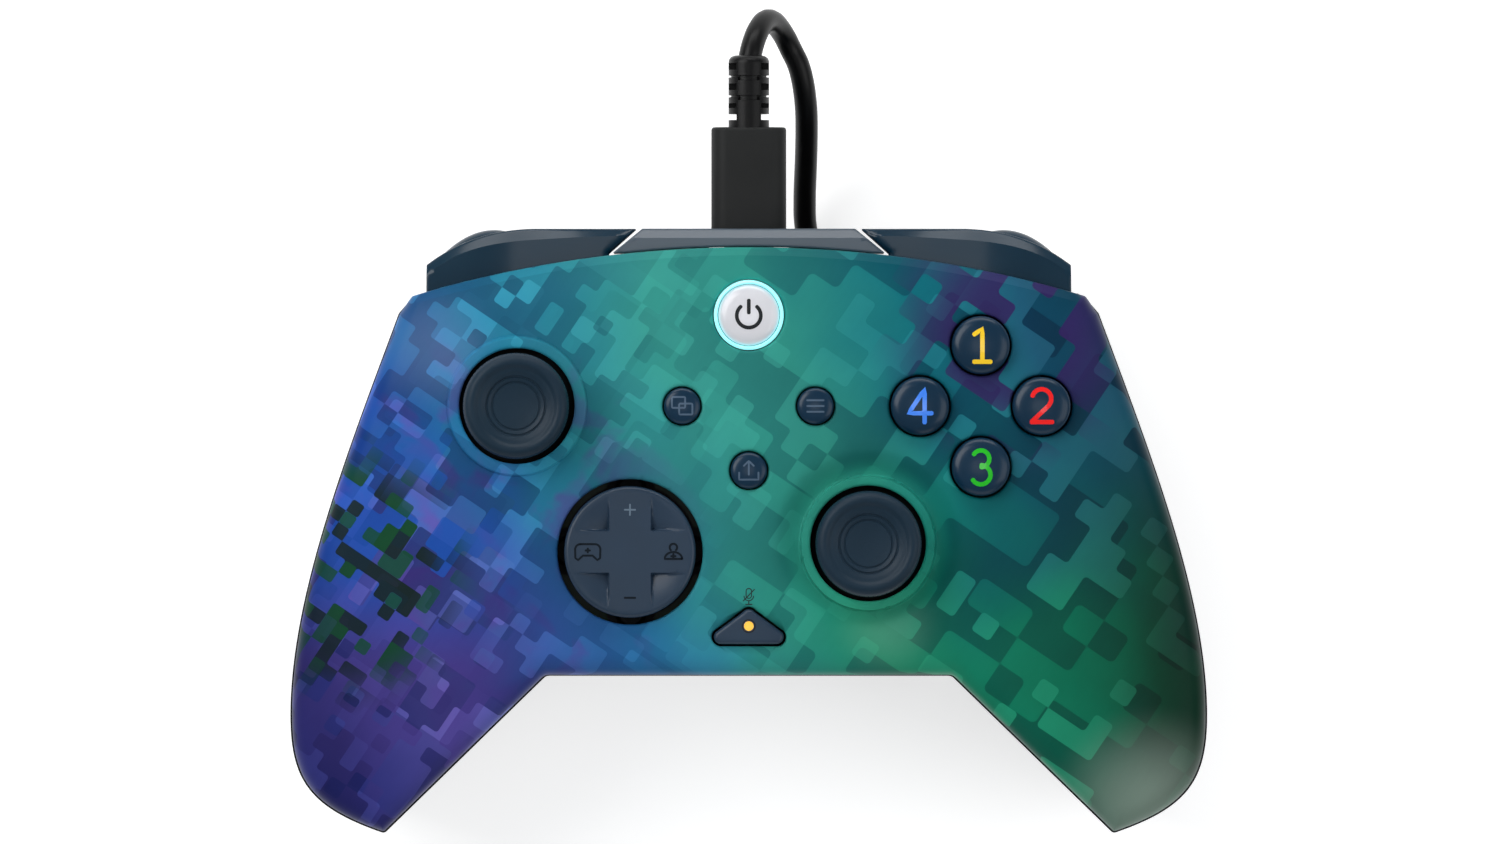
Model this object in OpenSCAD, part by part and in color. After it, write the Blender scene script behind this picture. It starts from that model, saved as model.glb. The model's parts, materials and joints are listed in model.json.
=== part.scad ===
// Wired gamepad controller, lying face up.
// +X is to the right, +Y towards the cable, +Z out of the face. The grips and lobes rest at z = 0.

/* [Body] */
// Width across the two grips
body_w = 153; // [148:1:158]
// Width across the shoulders, under the bumpers
shoulder_w = 112; // [110:1:114]
// Height of the shoulder corners above the middle line
shoulder_y = 39.2; // [38.8:0.1:39.8]
// Top edge of the front shell at its middle
top_y = 47.3; // [46.9:0.1:47.6]
// Straight bottom edge between the grips
bottom_y = -24.1; // [-25.5:0.1:-23]
// Width of the straight bottom edge
crotch_w = 67.6; // [62:0.2:72]
// Distance between the grip tips
tip_w = 121.6; // [116:0.2:126]
// How far the grip tips reach below the middle line
reach_y = 50.4; // [50:0.1:51.5]
// How far the bumpers and the trim stand out past the shell's top edge
bumper_out = 3.1; // [2.9:0.1:3.4]
// Highest point of the crowned face
face_z = 50; // [49:0.1:51]
// Radius of the crowned face
face_r = 300; // [260:5:400]
// Where the crown is highest
face_y = 8; // [4:0.5:12]
// Rolled edge of the front shell
edge_r = 5; // [3:0.25:6]
// Wall of both shells
wall = 2.2; // [1.8:0.1:2.5]
// Plane where the two shells meet
parting_z = 31; // [30.8:0.1:31.6]
// Underside of the middle of the rear shell
belly_z = 20.5; // [20:0.1:21]

/* [Sticks] */
// Across from the middle to the left stick
left_stick_x = -38.5; // [-39.5:0.1:-37.5]
// Height of the left stick
left_stick_y = 20.9; // [20:0.1:21.5]
// Across from the middle to the right stick
right_stick_x = 19.8; // [19:0.1:20.5]
// Height of the right stick
right_stick_y = -1.9; // [-2.5:0.1:-1]
// Hole in the face for a stick
stick_hole_d = 19.2; // [18.6:0.1:20]
// Thumb cap of a stick
stick_cap_d = 17.5; // [16:0.1:18.2]
// Top of a stick's rim
stick_top_z = 61; // [60:0.1:62]
// Neck of a stick
stick_neck_d = 6.4; // [5.6:0.1:6.8]
// Height of the stick's turning point
stick_pivot_z = 36; // [35.8:0.1:36.2]

/* [Direction pad] */
// Across from the middle to the pad
dpad_x = -19.7; // [-20.2:0.1:-19]
// Height of the pad
dpad_y = -3.3; // [-3.8:0.1:-2.8]
// Round cap of the pad
dpad_d = 21.8; // [20.5:0.1:22.2]
// Hole in the face for the pad
dpad_hole_d = 24.1; // [23.8:0.1:24.6]
// Width of the raised cross
dpad_arm_w = 6.9; // [6:0.1:8]

/* [Buttons] */
// Across from the middle to the four face buttons' centre
face_buttons_x = 38.5; // [38:0.1:39]
// Height of the four face buttons' centre
face_buttons_y = 20.9; // [20.4:0.1:21.2]
// From that centre to each button
face_buttons_r = 10.1; // [9.8:0.1:10.4]
// Face button cap
face_button_d = 9.65; // [9:0.05:9.9]
// Travel of a face button
face_button_travel = 1.8; // [1:0.1:2]
// Small round button cap
small_button_d = 6.5; // [6:0.1:7]
// Across from the middle to the view and menu buttons
small_button_x = 11.05; // [10.5:0.05:11.5]
// Height of the view and menu buttons
small_button_y = 20.9; // [20:0.1:22]
// Height of the share button
share_y = 10.2; // [9.5:0.1:11]
// Travel of a small button
small_travel = 0.6; // [0.3:0.1:0.8]
// Height of the guide button
guide_y = 36; // [35.6:0.1:36.4]
// Outside of the guide button's light ring
guide_ring_d = 11.6; // [11.2:0.1:12]
// Width of the light ring
guide_ring_w = 0.7; // [0.6:0.05:0.9]
// Width of the microphone button
mic_w = 12.4; // [11.5:0.1:13]
// Height of the microphone button
mic_h = 6.6; // [6:0.1:7]
// Middle of the microphone button
mic_y = -15.7; // [-16:0.1:-15.2]
// Light in the microphone button
mic_light_d = 1.7; // [1.4:0.1:2]

/* [Shoulder] */
// Outer end of a bumper
bumper_x = 53.7; // [53.2:0.1:54]
// Underside of a bumper
bumper_z0 = 28; // [27.9:0.1:28.4]
// Top of a bumper beside the face
bumper_z1 = 40.6; // [39:0.1:40.8]
// How far a bumper reaches under the front shell's lip
bumper_tuck = 2.8; // [2:0.1:3]
// Across from the middle to a bumper's pin
bumper_pin_x = 25.5; // [25:0.1:26]
// Height of a bumper's pin
bumper_pin_y = 43; // [42.8:0.1:43.2]
// Middle of a trigger
trigger_x = 43; // [42.8:0.1:43.2]
// Width of a trigger
trigger_w = 17; // [15:0.1:17.2]
// Height of a trigger's pin above the middle line
trigger_pin_y = 36.7; // [36.6:0.1:37]
// Level of a trigger's pin
trigger_pin_z = 21; // [20.8:0.1:21.2]
// Radius of the hinge pins
pin_r = 1.1; // [1:0.05:1.2]

/* [Cable] */
// Cord diameter
cord_d = 3.8; // [3.4:0.1:3.8]
// Width of the plug's grip
plug_w = 12.5; // [11.8:0.1:13]
// Thickness of the plug's grip
plug_t = 7.2; // [6.6:0.1:7.4]
// Visible length of the plug's grip
plug_len = 17; // [17:0.5:17]
// Length of the strain relief
relief_len = 11; // [11:0.5:11]
// Outside of the strain relief
relief_d = 6.8; // [6:0.1:7]

/* [Hidden] */
$fn = 48;

// Colours
navy = "#22354a";
deep_navy = "#12202e";
print_blue = "#24607a";
rubber_black = "#16181b";
steel = "#b9bcc0";
board_green = "#1d5b3a";

// Gaps: between moving pieces, round a running pin, and between fixed pieces that meet
gap = 0.3;
running = 0.05;
seat = 0.15;
// More than any piece, for cutting tools
far = 200;

// Bezier points from a to d, without the last one
function bezier(a, b, c, d, n) = [
    for (i = [0 : n - 1])
        let (t = i / n, u = 1 - t)
            a * u * u * u + b * 3 * u * u * t + c * 3 * u * t * t + d * t * t * t
];

// Points along a straight edge from a to b, without the last one
function straight(a, b, n) = [for (i = [0 : n - 1]) a + (b - a) * i / n];

// Mirror a list of points in the YZ plane and run through it backwards
function mirrored(points) = [
    for (i = [len(points) - 1 : -1 : 0])
        [-points[i][0], points[i][1]]
];

function reversed(points) = [for (i = [len(points) - 1 : -1 : 0]) points[i]];

// Outward normal of the edge from a to b on a clockwise outline
function edge_normal(a, b) =
    let (d = b - a)
        [-d[1], d[0]] / norm(d);

// The outline moved inwards by d, point for point
function inset(points, d) =
    let (n = len(points))
        [for (i = [0 : n - 1])
            let (
                before = edge_normal(points[(i + n - 1) % n], points[i]),
                after = edge_normal(points[i], points[(i + 1) % n]),
                middle = (before + after) / norm(before + after)
            )
                points[i] - middle * d / max(0.6, middle * before)];

// Outline of the two shells, clockwise from the top middle
shoulder = [shoulder_w / 2, shoulder_y];
shoulder_cut = [2.4, -2.8];
side_start = shoulder + shoulder_cut;
side_pull = [8.7, -23.4];
widest = [body_w / 2, -30.7];
side_arrive = [0, 19.7];
grip_leave = [0, -11];
grip_arrive = [12.4, 4.2];
tip = [tip_w / 2, -reach_y];
crotch = [crotch_w / 2, bottom_y];
top_edge = bezier([0, top_y], [20, top_y], [shoulder_w / 2 - 17, shoulder_y + 5.1], shoulder, 8);
side_edge = bezier(side_start, side_start + side_pull, widest + side_arrive, widest, 8);
grip_edge = bezier(widest, widest + grip_leave, tip + grip_arrive, tip, 8);
grip_inside = straight(tip, crotch, 4);
bottom_middle = [0, bottom_y];
bottom_edge = straight(crotch, bottom_middle, 4);
half_outline = concat(top_edge, [shoulder], side_edge, grip_edge, grip_inside, bottom_edge);
half_back = mirrored([for (i = [1 : len(half_outline) - 1]) half_outline[i]]);
outline = concat(half_outline, [bottom_middle], half_back);

// Height of the face at a place
function face_at(x, y) = face_z - face_r + sqrt(face_r * face_r - x * x - (y - face_y) * (y - face_y));
function face_under(x, y) = face_at(x, y) - wall;

// Centres of the round openings in the face
left_stick_at = [left_stick_x, left_stick_y];
right_stick_at = [right_stick_x, right_stick_y];
dpad_at = [dpad_x, dpad_y];
face_buttons_at = [face_buttons_x, face_buttons_y];
face_top_at = face_buttons_at + [0, face_buttons_r];
face_right_at = face_buttons_at + [face_buttons_r, 0];
face_bottom_at = face_buttons_at - [0, face_buttons_r];
face_left_at = face_buttons_at - [face_buttons_r, 0];
face_places = [face_top_at, face_right_at, face_bottom_at, face_left_at];
guide_at = [0, guide_y];
view_at = [-small_button_x, small_button_y];
menu_at = [small_button_x, small_button_y];
share_at = [0, share_y];
mic_at = [0, mic_y];
small_places = [view_at, menu_at, share_at];
switch_places = concat([guide_at, mic_at], small_places);

// Board and what stands on it
board_t = 1.6;
board_low_x = 30;
board_low_y = -16;
board_side_x = 47;
board_side_y = -6;
board_step_x = 31;
board_step_y = 29;
board_neck_x = 21;
board_neck_y = 37;
board_top_y = 41;
board_z = stick_pivot_z - 6;
board_under = board_z - board_t;
board_half = [
    [board_low_x, board_low_y], [board_side_x, board_side_y], [board_side_x, board_step_y],
    [board_step_x, board_step_y], [board_neck_x, board_neck_y], [board_neck_x, board_top_y]
];
board_posts = [[30, -11], [30, 22]];
switch_w = 4.5;
switch_h = 3;

// Screws through the rear shell into bosses of the front shell
screw_r = 1.15;
screw_head_r = 2.3;
screw_head_h = 1.8;
boss_r = 2.7;
screw_reach = 7;
// Across, height, level under the head, level where the rear post starts
screw_places = [
    [57, 27, belly_z + 2.4, belly_z + 0.5],
    [62, -39, 14, 0.8],
    [14, bottom_y + 3.8, belly_z + 2.4, belly_z + 0.5]
];

// Horns and lobes of the rear shell: centre and radius
horn_tip_r = 15.4;
horn_tip = [tip_w / 2 + 0.7, horn_tip_r - reach_y, 14.6];
horn_mid = [58, -8, 22];
horn_mid_r = 17;
horn_top = [54, 8, 25];
horn_top_r = 12;
lobe_at = [48, 20];
lobe_r = 9.2;
pad_cut = 0.8;
lobe_foot_z = lobe_r - pad_cut;

// Front line of the bumpers, the trim and the triggers
front_y = top_y + bumper_out;
bumper_crown_x = [38, 46];
bumper_end_y = front_y - 6.4;
bumper_end_pull = 3.5;

// Slanted inner end of a bumper, and the trim's end beside it
bumper_tip_x = 18.9;
bumper_foot = [23.5, top_y - 1];
trim_gap = 1.3;

// Trigger well in the rear shell
well_y = 32.6;
well_roof = 25.4;
ear_t = 1.5;
well_half = trigger_w / 2 + ear_t + 3 * gap;

// Rumble motors in the grips
motor_at = [57, -30, 18];
motor_r = 8;
motor_len = 16;
motor_shaft_r = 1;
weight_r = 8.2;
weight_t = 6;
cradle_w = 10;
cradle_t = 2;

// Port, its plug and the cord
port_z = board_z + 2.2;
port_w = 8.9;
port_h = 3;
port_wall = 0.7;
port_y0 = 38.6;
plug_y0 = top_y + seat;
plug_y1 = front_y + plug_len;
relief_y1 = plug_y1 + relief_len;
cord_r = cord_d / 2;

// Jack at the bottom edge
jack_r = 1.8;
jack_collar_r = 3;
jack_z = board_under - jack_collar_r + 0.4;
jack_len = 13;

// Stored coil: clockwise from its right side, in four layers
coil_at = [-5, 9];
coil_r = 30;
coil_pitch = 4.3;
coil_z = 3.3;
coil_turns = 15.75;
coil_layers = 4;
coil_rings = 24;
coil_steps = coil_turns * coil_rings;
layer_turns = coil_turns / coil_layers;
climb_turns = 0.5;

// Layers climbed after t turns, each climb centred on a turning point of the spiral
function layers_climbed(t) =
    let (rise = [for (k = [1 : coil_layers - 1])
        min(1, max(0, (t - k * layer_turns) / climb_turns + 0.5))])
        rise[0] + rise[1] + rise[2];

// How far the spiral has come in after t turns
function spiral_in(t) =
    let (phase = t % (2 * layer_turns))
        phase < layer_turns ? phase : 2 * layer_turns - phase;

function coil_point(t) =
    let (r = coil_r - coil_pitch * spiral_in(t), a = -360 * t)
        [coil_at[0] + r * cos(a), coil_at[1] + r * sin(a), coil_z + coil_pitch * layers_climbed(t)];

coil_turn_points = [for (i = [0 : coil_steps]) coil_point(i / coil_rings)];
coil_start = coil_turn_points[0] + [0, cord_d, 0];
coil_end = coil_turn_points[coil_steps] + [cord_d, 0, 0];
coil_points = concat([coil_start], coil_turn_points, [coil_end]);
// Least gap between turns, on points at least a third of a turn apart
coil_gap = min([for (i = [0 : 4 : coil_steps])
    min([for (j = [i + 8 : 1 : max(i + 8, coil_steps)])
        j > coil_steps ? far : norm(coil_turn_points[i] - coil_turn_points[j])])]) - cord_d;
echo(coil_gap = coil_gap);

// Route of the cord from the strain relief over its arch to the coil
lead_points = [
    [0, 78.4, 32.2], [0, 80, 32.2], [0.4, 82.2, 31.7], [1.4, 84.2, 30.3], [2.9, 85.6, 28.3],
    [4.7, 86.1, 26], [6.5, 85.6, 23.6], [8, 84.1, 21.6], [9, 81.8, 20], [9.3, 78.5, 18.7],
    [9.3, 74, 16.6], [9.3, 68, 13], [9.3, 62, 9], [9.3, 56, 5.6], [9.6, 51, 3.4], [11, 46, 2.4],
    [13.8, 41, 2.1], [17.4, 36, 2.2], [20.8, 31, 2.5], [23.4, 26, 2.8], [24.7, 21, 3.1],
    [25, 16.8, 3.3], [25, 12.8, 3.3]
];
// Route of the cord from the coil down to the plug on its far end
tail_points = [
    [-1.2, 39, 16.2], [3, 39, 16.2], [10, 38.8, 15.6], [16, 38, 14.4], [21.5, 36.2, 12.6],
    [26, 33.4, 10.4], [29.4, 29.6, 8.2], [31.6, 25.2, 6.2], [32.8, 20.6, 4.9], [33.5, 17, 4.3],
    [33.5, 13, 4.3]
];

// Plug on the cord's far end, lying beside the coil
host_at = [33.5, 13, 4.3];
host_w = 11.6;
host_t = 8;
host_len = 24;
host_shell_w = 9.2;
host_shell_t = 4.5;
host_shell_len = 10.5;
host_shell_wall = 0.6;

// Closed tube along a list of points
module tube(points, r, sides) {
    n = len(points);
    ahead = [for (i = [0 : n - 1])
        let (d = points[min(n - 1, i + 1)] - points[max(0, i - 1)])
            d / norm(d)];
    across = [for (i = [0 : n - 1])
        let (d = cross(ahead[i], [0.21, 0.13, 0.97]))
            d / norm(d)];
    rings = [for (i = [0 : n - 1])
        for (k = [0 : sides - 1])
            let (a = 360 * k / sides)
                points[i] + r * (across[i] * cos(a) + cross(ahead[i], across[i]) * sin(a))];
    walls = [for (i = [0 : n - 2])
        for (k = [0 : sides - 1])
            let (l = (k + 1) % sides, a = i * sides, b = a + sides)
                each [[a + k, b + k, a + l], [a + l, b + k, b + l]]];
    ends = [for (k = [1 : sides - 2])
        each [[0, k, k + 1], [(n - 1) * sides, (n - 1) * sides + k + 1, (n - 1) * sides + k]]];
    polyhedron(rings, concat(walls, ends), convexity = 10);
}

module mirror_pair() {
    children();
    mirror([1, 0, 0]) children();
}

module at(place, z = 0) {
    translate([place[0], place[1], z]) children();
}

// Box from a low corner to a high corner
module block(low, high) {
    translate(low) cube(high - low);
}

module prism(d, z0, z1) {
    translate([0, 0, z0]) linear_extrude(z1 - z0) polygon(inset(outline, d));
}

module face_ball(depth) {
    translate([0, face_y, face_z - face_r]) sphere(face_r - depth, $fn = 96);
}

// Outline prism with a rolled upper edge, taller than the face
module rolled_prism() {
    steps = 4;
    rows = concat(
        [[0, undef]],
        [for (k = [0 : steps])
            let (a = 90 * k / steps)
                [edge_r * (1 - cos(a)), edge_r * (1 - sin(a)) + seat]],
        [[edge_r, far]]
    );
    n = len(outline);
    points = [for (row = rows)
        let (ring = inset(outline, row[0]))
            for (p = ring)
                let (z = row[1] == undef ? parting_z
                    : row[1] == far ? face_z + 3
                    : face_at(p[0], p[1]) - row[1])
                    [p[0], p[1], z]];
    walls = [for (j = [0 : len(rows) - 2])
        for (i = [0 : n - 1])
            let (l = (i + 1) % n, a = j * n, b = a + n)
                each [[a + i, b + i, a + l], [a + l, b + i, b + l]]];
    low = [for (i = [n - 1 : -1 : 0]) i];
    high = [for (i = [0 : n - 1]) (len(rows) - 1) * n + i];
    polyhedron(points, concat(walls, [high, low]), convexity = 10);
}

// Plan of a right bumper; grow moves its outside out, drop moves its hidden edge further in
module bumper_plan(grow, drop) {
    tuck_edge = [for (p = top_edge)
        if (p[0] > bumper_pin_x && p[0] < bumper_x - 1)
            [p[0], p[1] - bumper_tuck - drop]];
    front = front_y + grow;
    end = [bumper_x + grow, bumper_end_y + grow];
    crown = bezier([bumper_crown_x[0], front], [bumper_crown_x[1], front],
        end + [0, bumper_end_pull], end, 8);
    polygon(concat(
        [[bumper_tip_x - grow, front]],
        crown,
        [end, [bumper_x + grow, shoulder_y - bumper_tuck - drop]],
        reversed(tuck_edge),
        [[bumper_pin_x - 1.4, bumper_pin_y - drop], bumper_foot - [grow, 0]]
    ));
}

// Room that a right bumper and its hub take up in the shells
module bumper_room() {
    sweep = 1.3;
    lip = bumper_z1 + gap;
    translate([0, 0, bumper_z0 - gap]) linear_extrude(lip - bumper_z0 + gap)
        bumper_plan(0.6, sweep);
    at([bumper_pin_x, bumper_pin_y], bumper_z0 - gap) cylinder(h = lip - bumper_z0 + gap, r = 2.9 + gap);
}

module trigger_well(grow) {
    block([trigger_x - well_half - grow, well_y - grow, -1],
        [trigger_x + well_half + grow, far, well_roof + grow]);
}

module mic_plan(grow) {
    corner_r = 1.6;
    hull() {
        at([0, mic_h / 2 - corner_r]) circle(corner_r + grow, $fn = 32);
        at([mic_w / 2 - corner_r, corner_r - mic_h / 2]) circle(corner_r + grow, $fn = 32);
        at([corner_r - mic_w / 2, corner_r - mic_h / 2]) circle(corner_r + grow, $fn = 32);
    }
}

// Opening for the port and the plug's tip
module port_room() {
    block([-port_w / 2 - port_wall - gap, port_y0, port_z - port_h / 2 - port_wall - gap],
        [port_w / 2 + port_wall + gap, far, port_z + port_h / 2 + port_wall + gap]);
}

// The children at each screw, on both sides, at z = 0 or at a level that its row gives
module at_screws(level) {
    for (s = screw_places)
        for (side = [-1, 1])
            at([side * s[0], s[1]], level == undef ? 0 : s[level]) children();
}

module at_board_posts() {
    for (p = board_posts)
        for (side = [-1, 1])
            at([side * p[0], p[1]], belly_z) children();
}

module front_shell() {
    collar = 0.7;
    collar_w = 1.9;
    color(print_blue) {
        difference() {
            union() {
                intersection() {
                    rolled_prism();
                    face_ball(0);
                }
                for (place = [left_stick_at, right_stick_at])
                    at(place, face_at(place[0], place[1]) - wall)
                        cylinder(h = wall + collar, r = stick_hole_d / 2 + collar_w);
            }
            difference() {
                intersection() {
                    prism(wall, parting_z - 1, face_z);
                    face_ball(wall);
                }
                at_screws(3) cylinder(h = far, r = boss_r);
            }
            at_screws() cylinder(h = parting_z + screw_reach, r = screw_r + running);
            for (place = [left_stick_at, right_stick_at])
                at(place, parting_z) cylinder(h = far, d = stick_hole_d);
            at(dpad_at, parting_z) cylinder(h = far, d = dpad_hole_d);
            for (place = face_places)
                at(place, parting_z) cylinder(h = far, d = face_button_d + 2 * gap);
            for (place = small_places)
                at(place, parting_z) cylinder(h = far, d = small_button_d + 2 * gap);
            at(guide_at, parting_z) cylinder(h = far, d = guide_ring_d + 2 * seat);
            at(mic_at, parting_z) linear_extrude(far) mic_plan(gap);
            mirror_pair() bumper_room();
            port_room();
        }
    }
}

module horn(shrink) {
    hull() {
        translate(horn_tip) sphere(horn_tip_r - shrink, $fn = 32);
        translate(horn_mid) sphere(horn_mid_r - shrink, $fn = 32);
        translate(horn_top) sphere(horn_top_r - shrink, $fn = 32);
    }
}

// Lobe of the rear shell beside a trigger, running out of the horn to its foot
module lobe() {
    hull() {
        at(lobe_at, lobe_foot_z) sphere(lobe_r, $fn = 32);
        at(lobe_at, belly_z) cylinder(h = wall, r = lobe_r + 1, $fn = 32);
        translate(horn_top) sphere(horn_top_r, $fn = 32);
    }
}

module lobe_hollow() {
    at(lobe_at, lobe_foot_z) sphere(lobe_r - wall);
    at(lobe_at, lobe_foot_z) cylinder(h = belly_z + wall - lobe_foot_z, r = lobe_r - wall);
}

module rear_shell() {
    color(deep_navy) {
        difference() {
            intersection() {
                prism(0, 0, parting_z - seat);
                union() {
                    prism(0, belly_z, parting_z);
                    mirror_pair() horn(0);
                    mirror_pair() lobe();
                }
            }
            difference() {
                intersection() {
                    prism(wall, 0, parting_z + 1);
                    union() {
                        prism(wall, belly_z + wall, parting_z + 1);
                        mirror_pair() horn(wall);
                        mirror_pair() lobe_hollow();
                    }
                }
                mirror_pair() trigger_well(wall);
                mirror_pair() motor_cradles();
                at_screws(3) cylinder(h = far, r = boss_r + 0.6);
                at_board_posts() cylinder(h = board_under - belly_z, r = 2);
            }
            mirror_pair() trigger_well(0);
            mirror_pair() bumper_room();
            mirror_pair() at([bumper_pin_x, bumper_pin_y], well_roof - 1)
                cylinder(h = 2 * wall, r = pin_r + running);
            port_room();
            at([0, bottom_y], jack_z) rotate([90, 0, 0])
                cylinder(h = 3 * wall, r = jack_collar_r + seat, center = true);
            at_screws(2) {
                mirror([0, 0, 1]) cylinder(h = far, r = screw_head_r + gap);
                cylinder(h = far, r = screw_r + seat);
            }
        }
    }
}

module center_trim() {
    low = 26.5;
    high = 44;
    half_top = bumper_tip_x - trim_gap;
    half_low = bumper_foot[0] - trim_gap;
    low_y = bumper_foot[1] + seat;
    inner = [for (p = top_edge) if (p[0] < half_low - 2) p + [0, seat]];
    color(navy) difference() {
        translate([0, 0, low]) linear_extrude(high - low)
            polygon(concat(
                mirrored([for (i = [1 : len(inner) - 1]) inner[i]]), inner,
                [[half_low, low_y], [half_top, front_y], [-half_top, front_y], [-half_low, low_y]]
            ));
        block([-plug_w / 2 - seat, 0, port_z - plug_t / 2 - seat],
            [plug_w / 2 + seat, far, port_z + plug_t / 2 + seat]);
    }
}

module main_board() {
    color(board_green) translate([0, 0, board_under]) linear_extrude(board_t)
        polygon(concat(board_half, mirrored(board_half)));
}

module port_socket() {
    outer_w = port_w + 2 * port_wall;
    outer_h = port_h + 2 * port_wall;
    color(steel) difference() {
        block([-outer_w / 2, port_y0, board_z], [outer_w / 2, plug_y0 - 0.4, board_z + outer_h]);
        block([-port_w / 2, port_y0 + port_wall, board_z + port_wall],
            [port_w / 2, far, board_z + port_wall + port_h]);
    }
}

module headset_jack() {
    color(rubber_black) difference() {
        union() {
            block([-3, bottom_y + wall + seat, jack_z - 2.6], [3, bottom_y + jack_len + 1.5, board_under]);
            at([0, bottom_y], jack_z) rotate([-90, 0, 0]) cylinder(h = wall + 1, r = jack_collar_r);
        }
        at([0, bottom_y - 1], jack_z) rotate([-90, 0, 0]) cylinder(h = jack_len + 1, r = jack_r);
    }
}

// Stick module: housing on the board, with trunnion holes along X
base_w = 14;
base_wall = 1;
base_h = 9.5;
trunnion_r = 0.8;
yoke_r = 5.4;
yoke_inner_r = 4.1;
yoke_h = 2.4;
cradle_r = 3.2;
shaft_r = 1.5;
dome_r = 11.7;
dome_t = 0.8;
dome_angle = 64;

module stick_base(place) {
    color(rubber_black) at(place, board_z) difference() {
        block([-base_w / 2, -base_w / 2, 0], [base_w / 2, base_w / 2, base_h]);
        block([base_wall - base_w / 2, base_wall - base_w / 2, base_wall],
            [base_w / 2 - base_wall, base_w / 2 - base_wall, far]);
        translate([0, 0, stick_pivot_z - board_z]) rotate([0, 90, 0])
            cylinder(h = far, r = trunnion_r + running, center = true);
    }
}

// Outer frame of a stick: turns about X on its trunnions
module stick_yoke(place) {
    color(steel) at(place, stick_pivot_z) difference() {
        union() {
            cylinder(h = yoke_h, r = yoke_r, center = true);
            rotate([0, 90, 0]) cylinder(h = base_w - gap, r = trunnion_r, center = true);
        }
        cylinder(h = far, r = yoke_inner_r, center = true);
        rotate([90, 0, 0]) cylinder(h = far, r = trunnion_r + running, center = true);
    }
}

// Inner block of a stick: turns about Y in the yoke
module stick_cradle(place) {
    color(rubber_black) at(place, stick_pivot_z) difference() {
        union() {
            cylinder(h = yoke_h, r = cradle_r, center = true);
            rotate([90, 0, 0]) cylinder(h = 2 * yoke_r - gap, r = trunnion_r, center = true);
        }
        cylinder(h = far, r = shaft_r + running, center = true);
    }
}

// Stick: shaft, dust dome, neck and dished thumb cap
module stick(place) {
    neck_r = stick_neck_d / 2;
    cap_r = stick_cap_d / 2;
    top = stick_top_z - stick_pivot_z;
    rim = 3.4;
    dish = 1.5;
    dome_steps = 8;
    outer_dome = [for (i = [0 : dome_steps])
        let (start = asin((neck_r - 0.2) / dome_r), a = start + (dome_angle - start) * i / dome_steps)
            [dome_r * sin(a), dome_r * cos(a)]];
    inner_r = dome_r - dome_t;
    inner_dome = [for (i = [dome_steps : -1 : 0])
        let (start = asin(neck_r / inner_r), a = start + (dome_angle - start) * i / dome_steps)
            [inner_r * sin(a), inner_r * cos(a)]];
    color(navy) at(place, stick_pivot_z) rotate_extrude($fn = 64) polygon(concat(
        [[0, -3.6], [shaft_r, -3.6], [shaft_r, 3.4], [neck_r - 0.8, 4.4]],
        reversed(concat(outer_dome, inner_dome)),
        [[neck_r - 0.2, top - rim - 2.2], [cap_r - 1.2, top - rim], [cap_r, top - rim + 0.8],
        [cap_r, top - 0.8], [cap_r - 0.7, top], [cap_r - 1.8, top - 0.2], [cap_r - 3, top - dish],
        [0, top - dish]]
    ));
}

// Direction pad
dpad_pivot_z = 46;
dpad_pin_r = 0.9;
dpad_ear = 1.2;
dpad_ear_in = 3.3;
dpad_leg_at = 10.2;

module dpad_base() {
    ear_half = 1.8;
    color(rubber_black) at(dpad_at) difference() {
        union() {
            block([-dpad_ear_in - dpad_ear, -ear_half, board_z],
                [dpad_ear_in + dpad_ear, ear_half, board_z + 3]);
            for (side = [-1, 1])
                translate([side * (dpad_ear_in + dpad_ear / 2), 0, 0])
                    block([-dpad_ear / 2, -ear_half, board_z],
                        [dpad_ear / 2, ear_half, dpad_pivot_z + 1.5]);
        }
        translate([0, 0, dpad_pivot_z]) rotate([0, 90, 0])
            cylinder(h = far, r = dpad_pin_r + running, center = true);
    }
}

// Cross of two pins: turns about X in the fork and carries the pad about Y
module dpad_cross() {
    reach = 2 * (dpad_ear_in + dpad_ear) - 0.2;
    color(steel) at(dpad_at, dpad_pivot_z) {
        rotate([0, 90, 0]) cylinder(h = reach, r = dpad_pin_r, center = true);
        rotate([90, 0, 0]) cylinder(h = reach, r = dpad_pin_r, center = true);
        sphere(1.7);
    }
}

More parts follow.
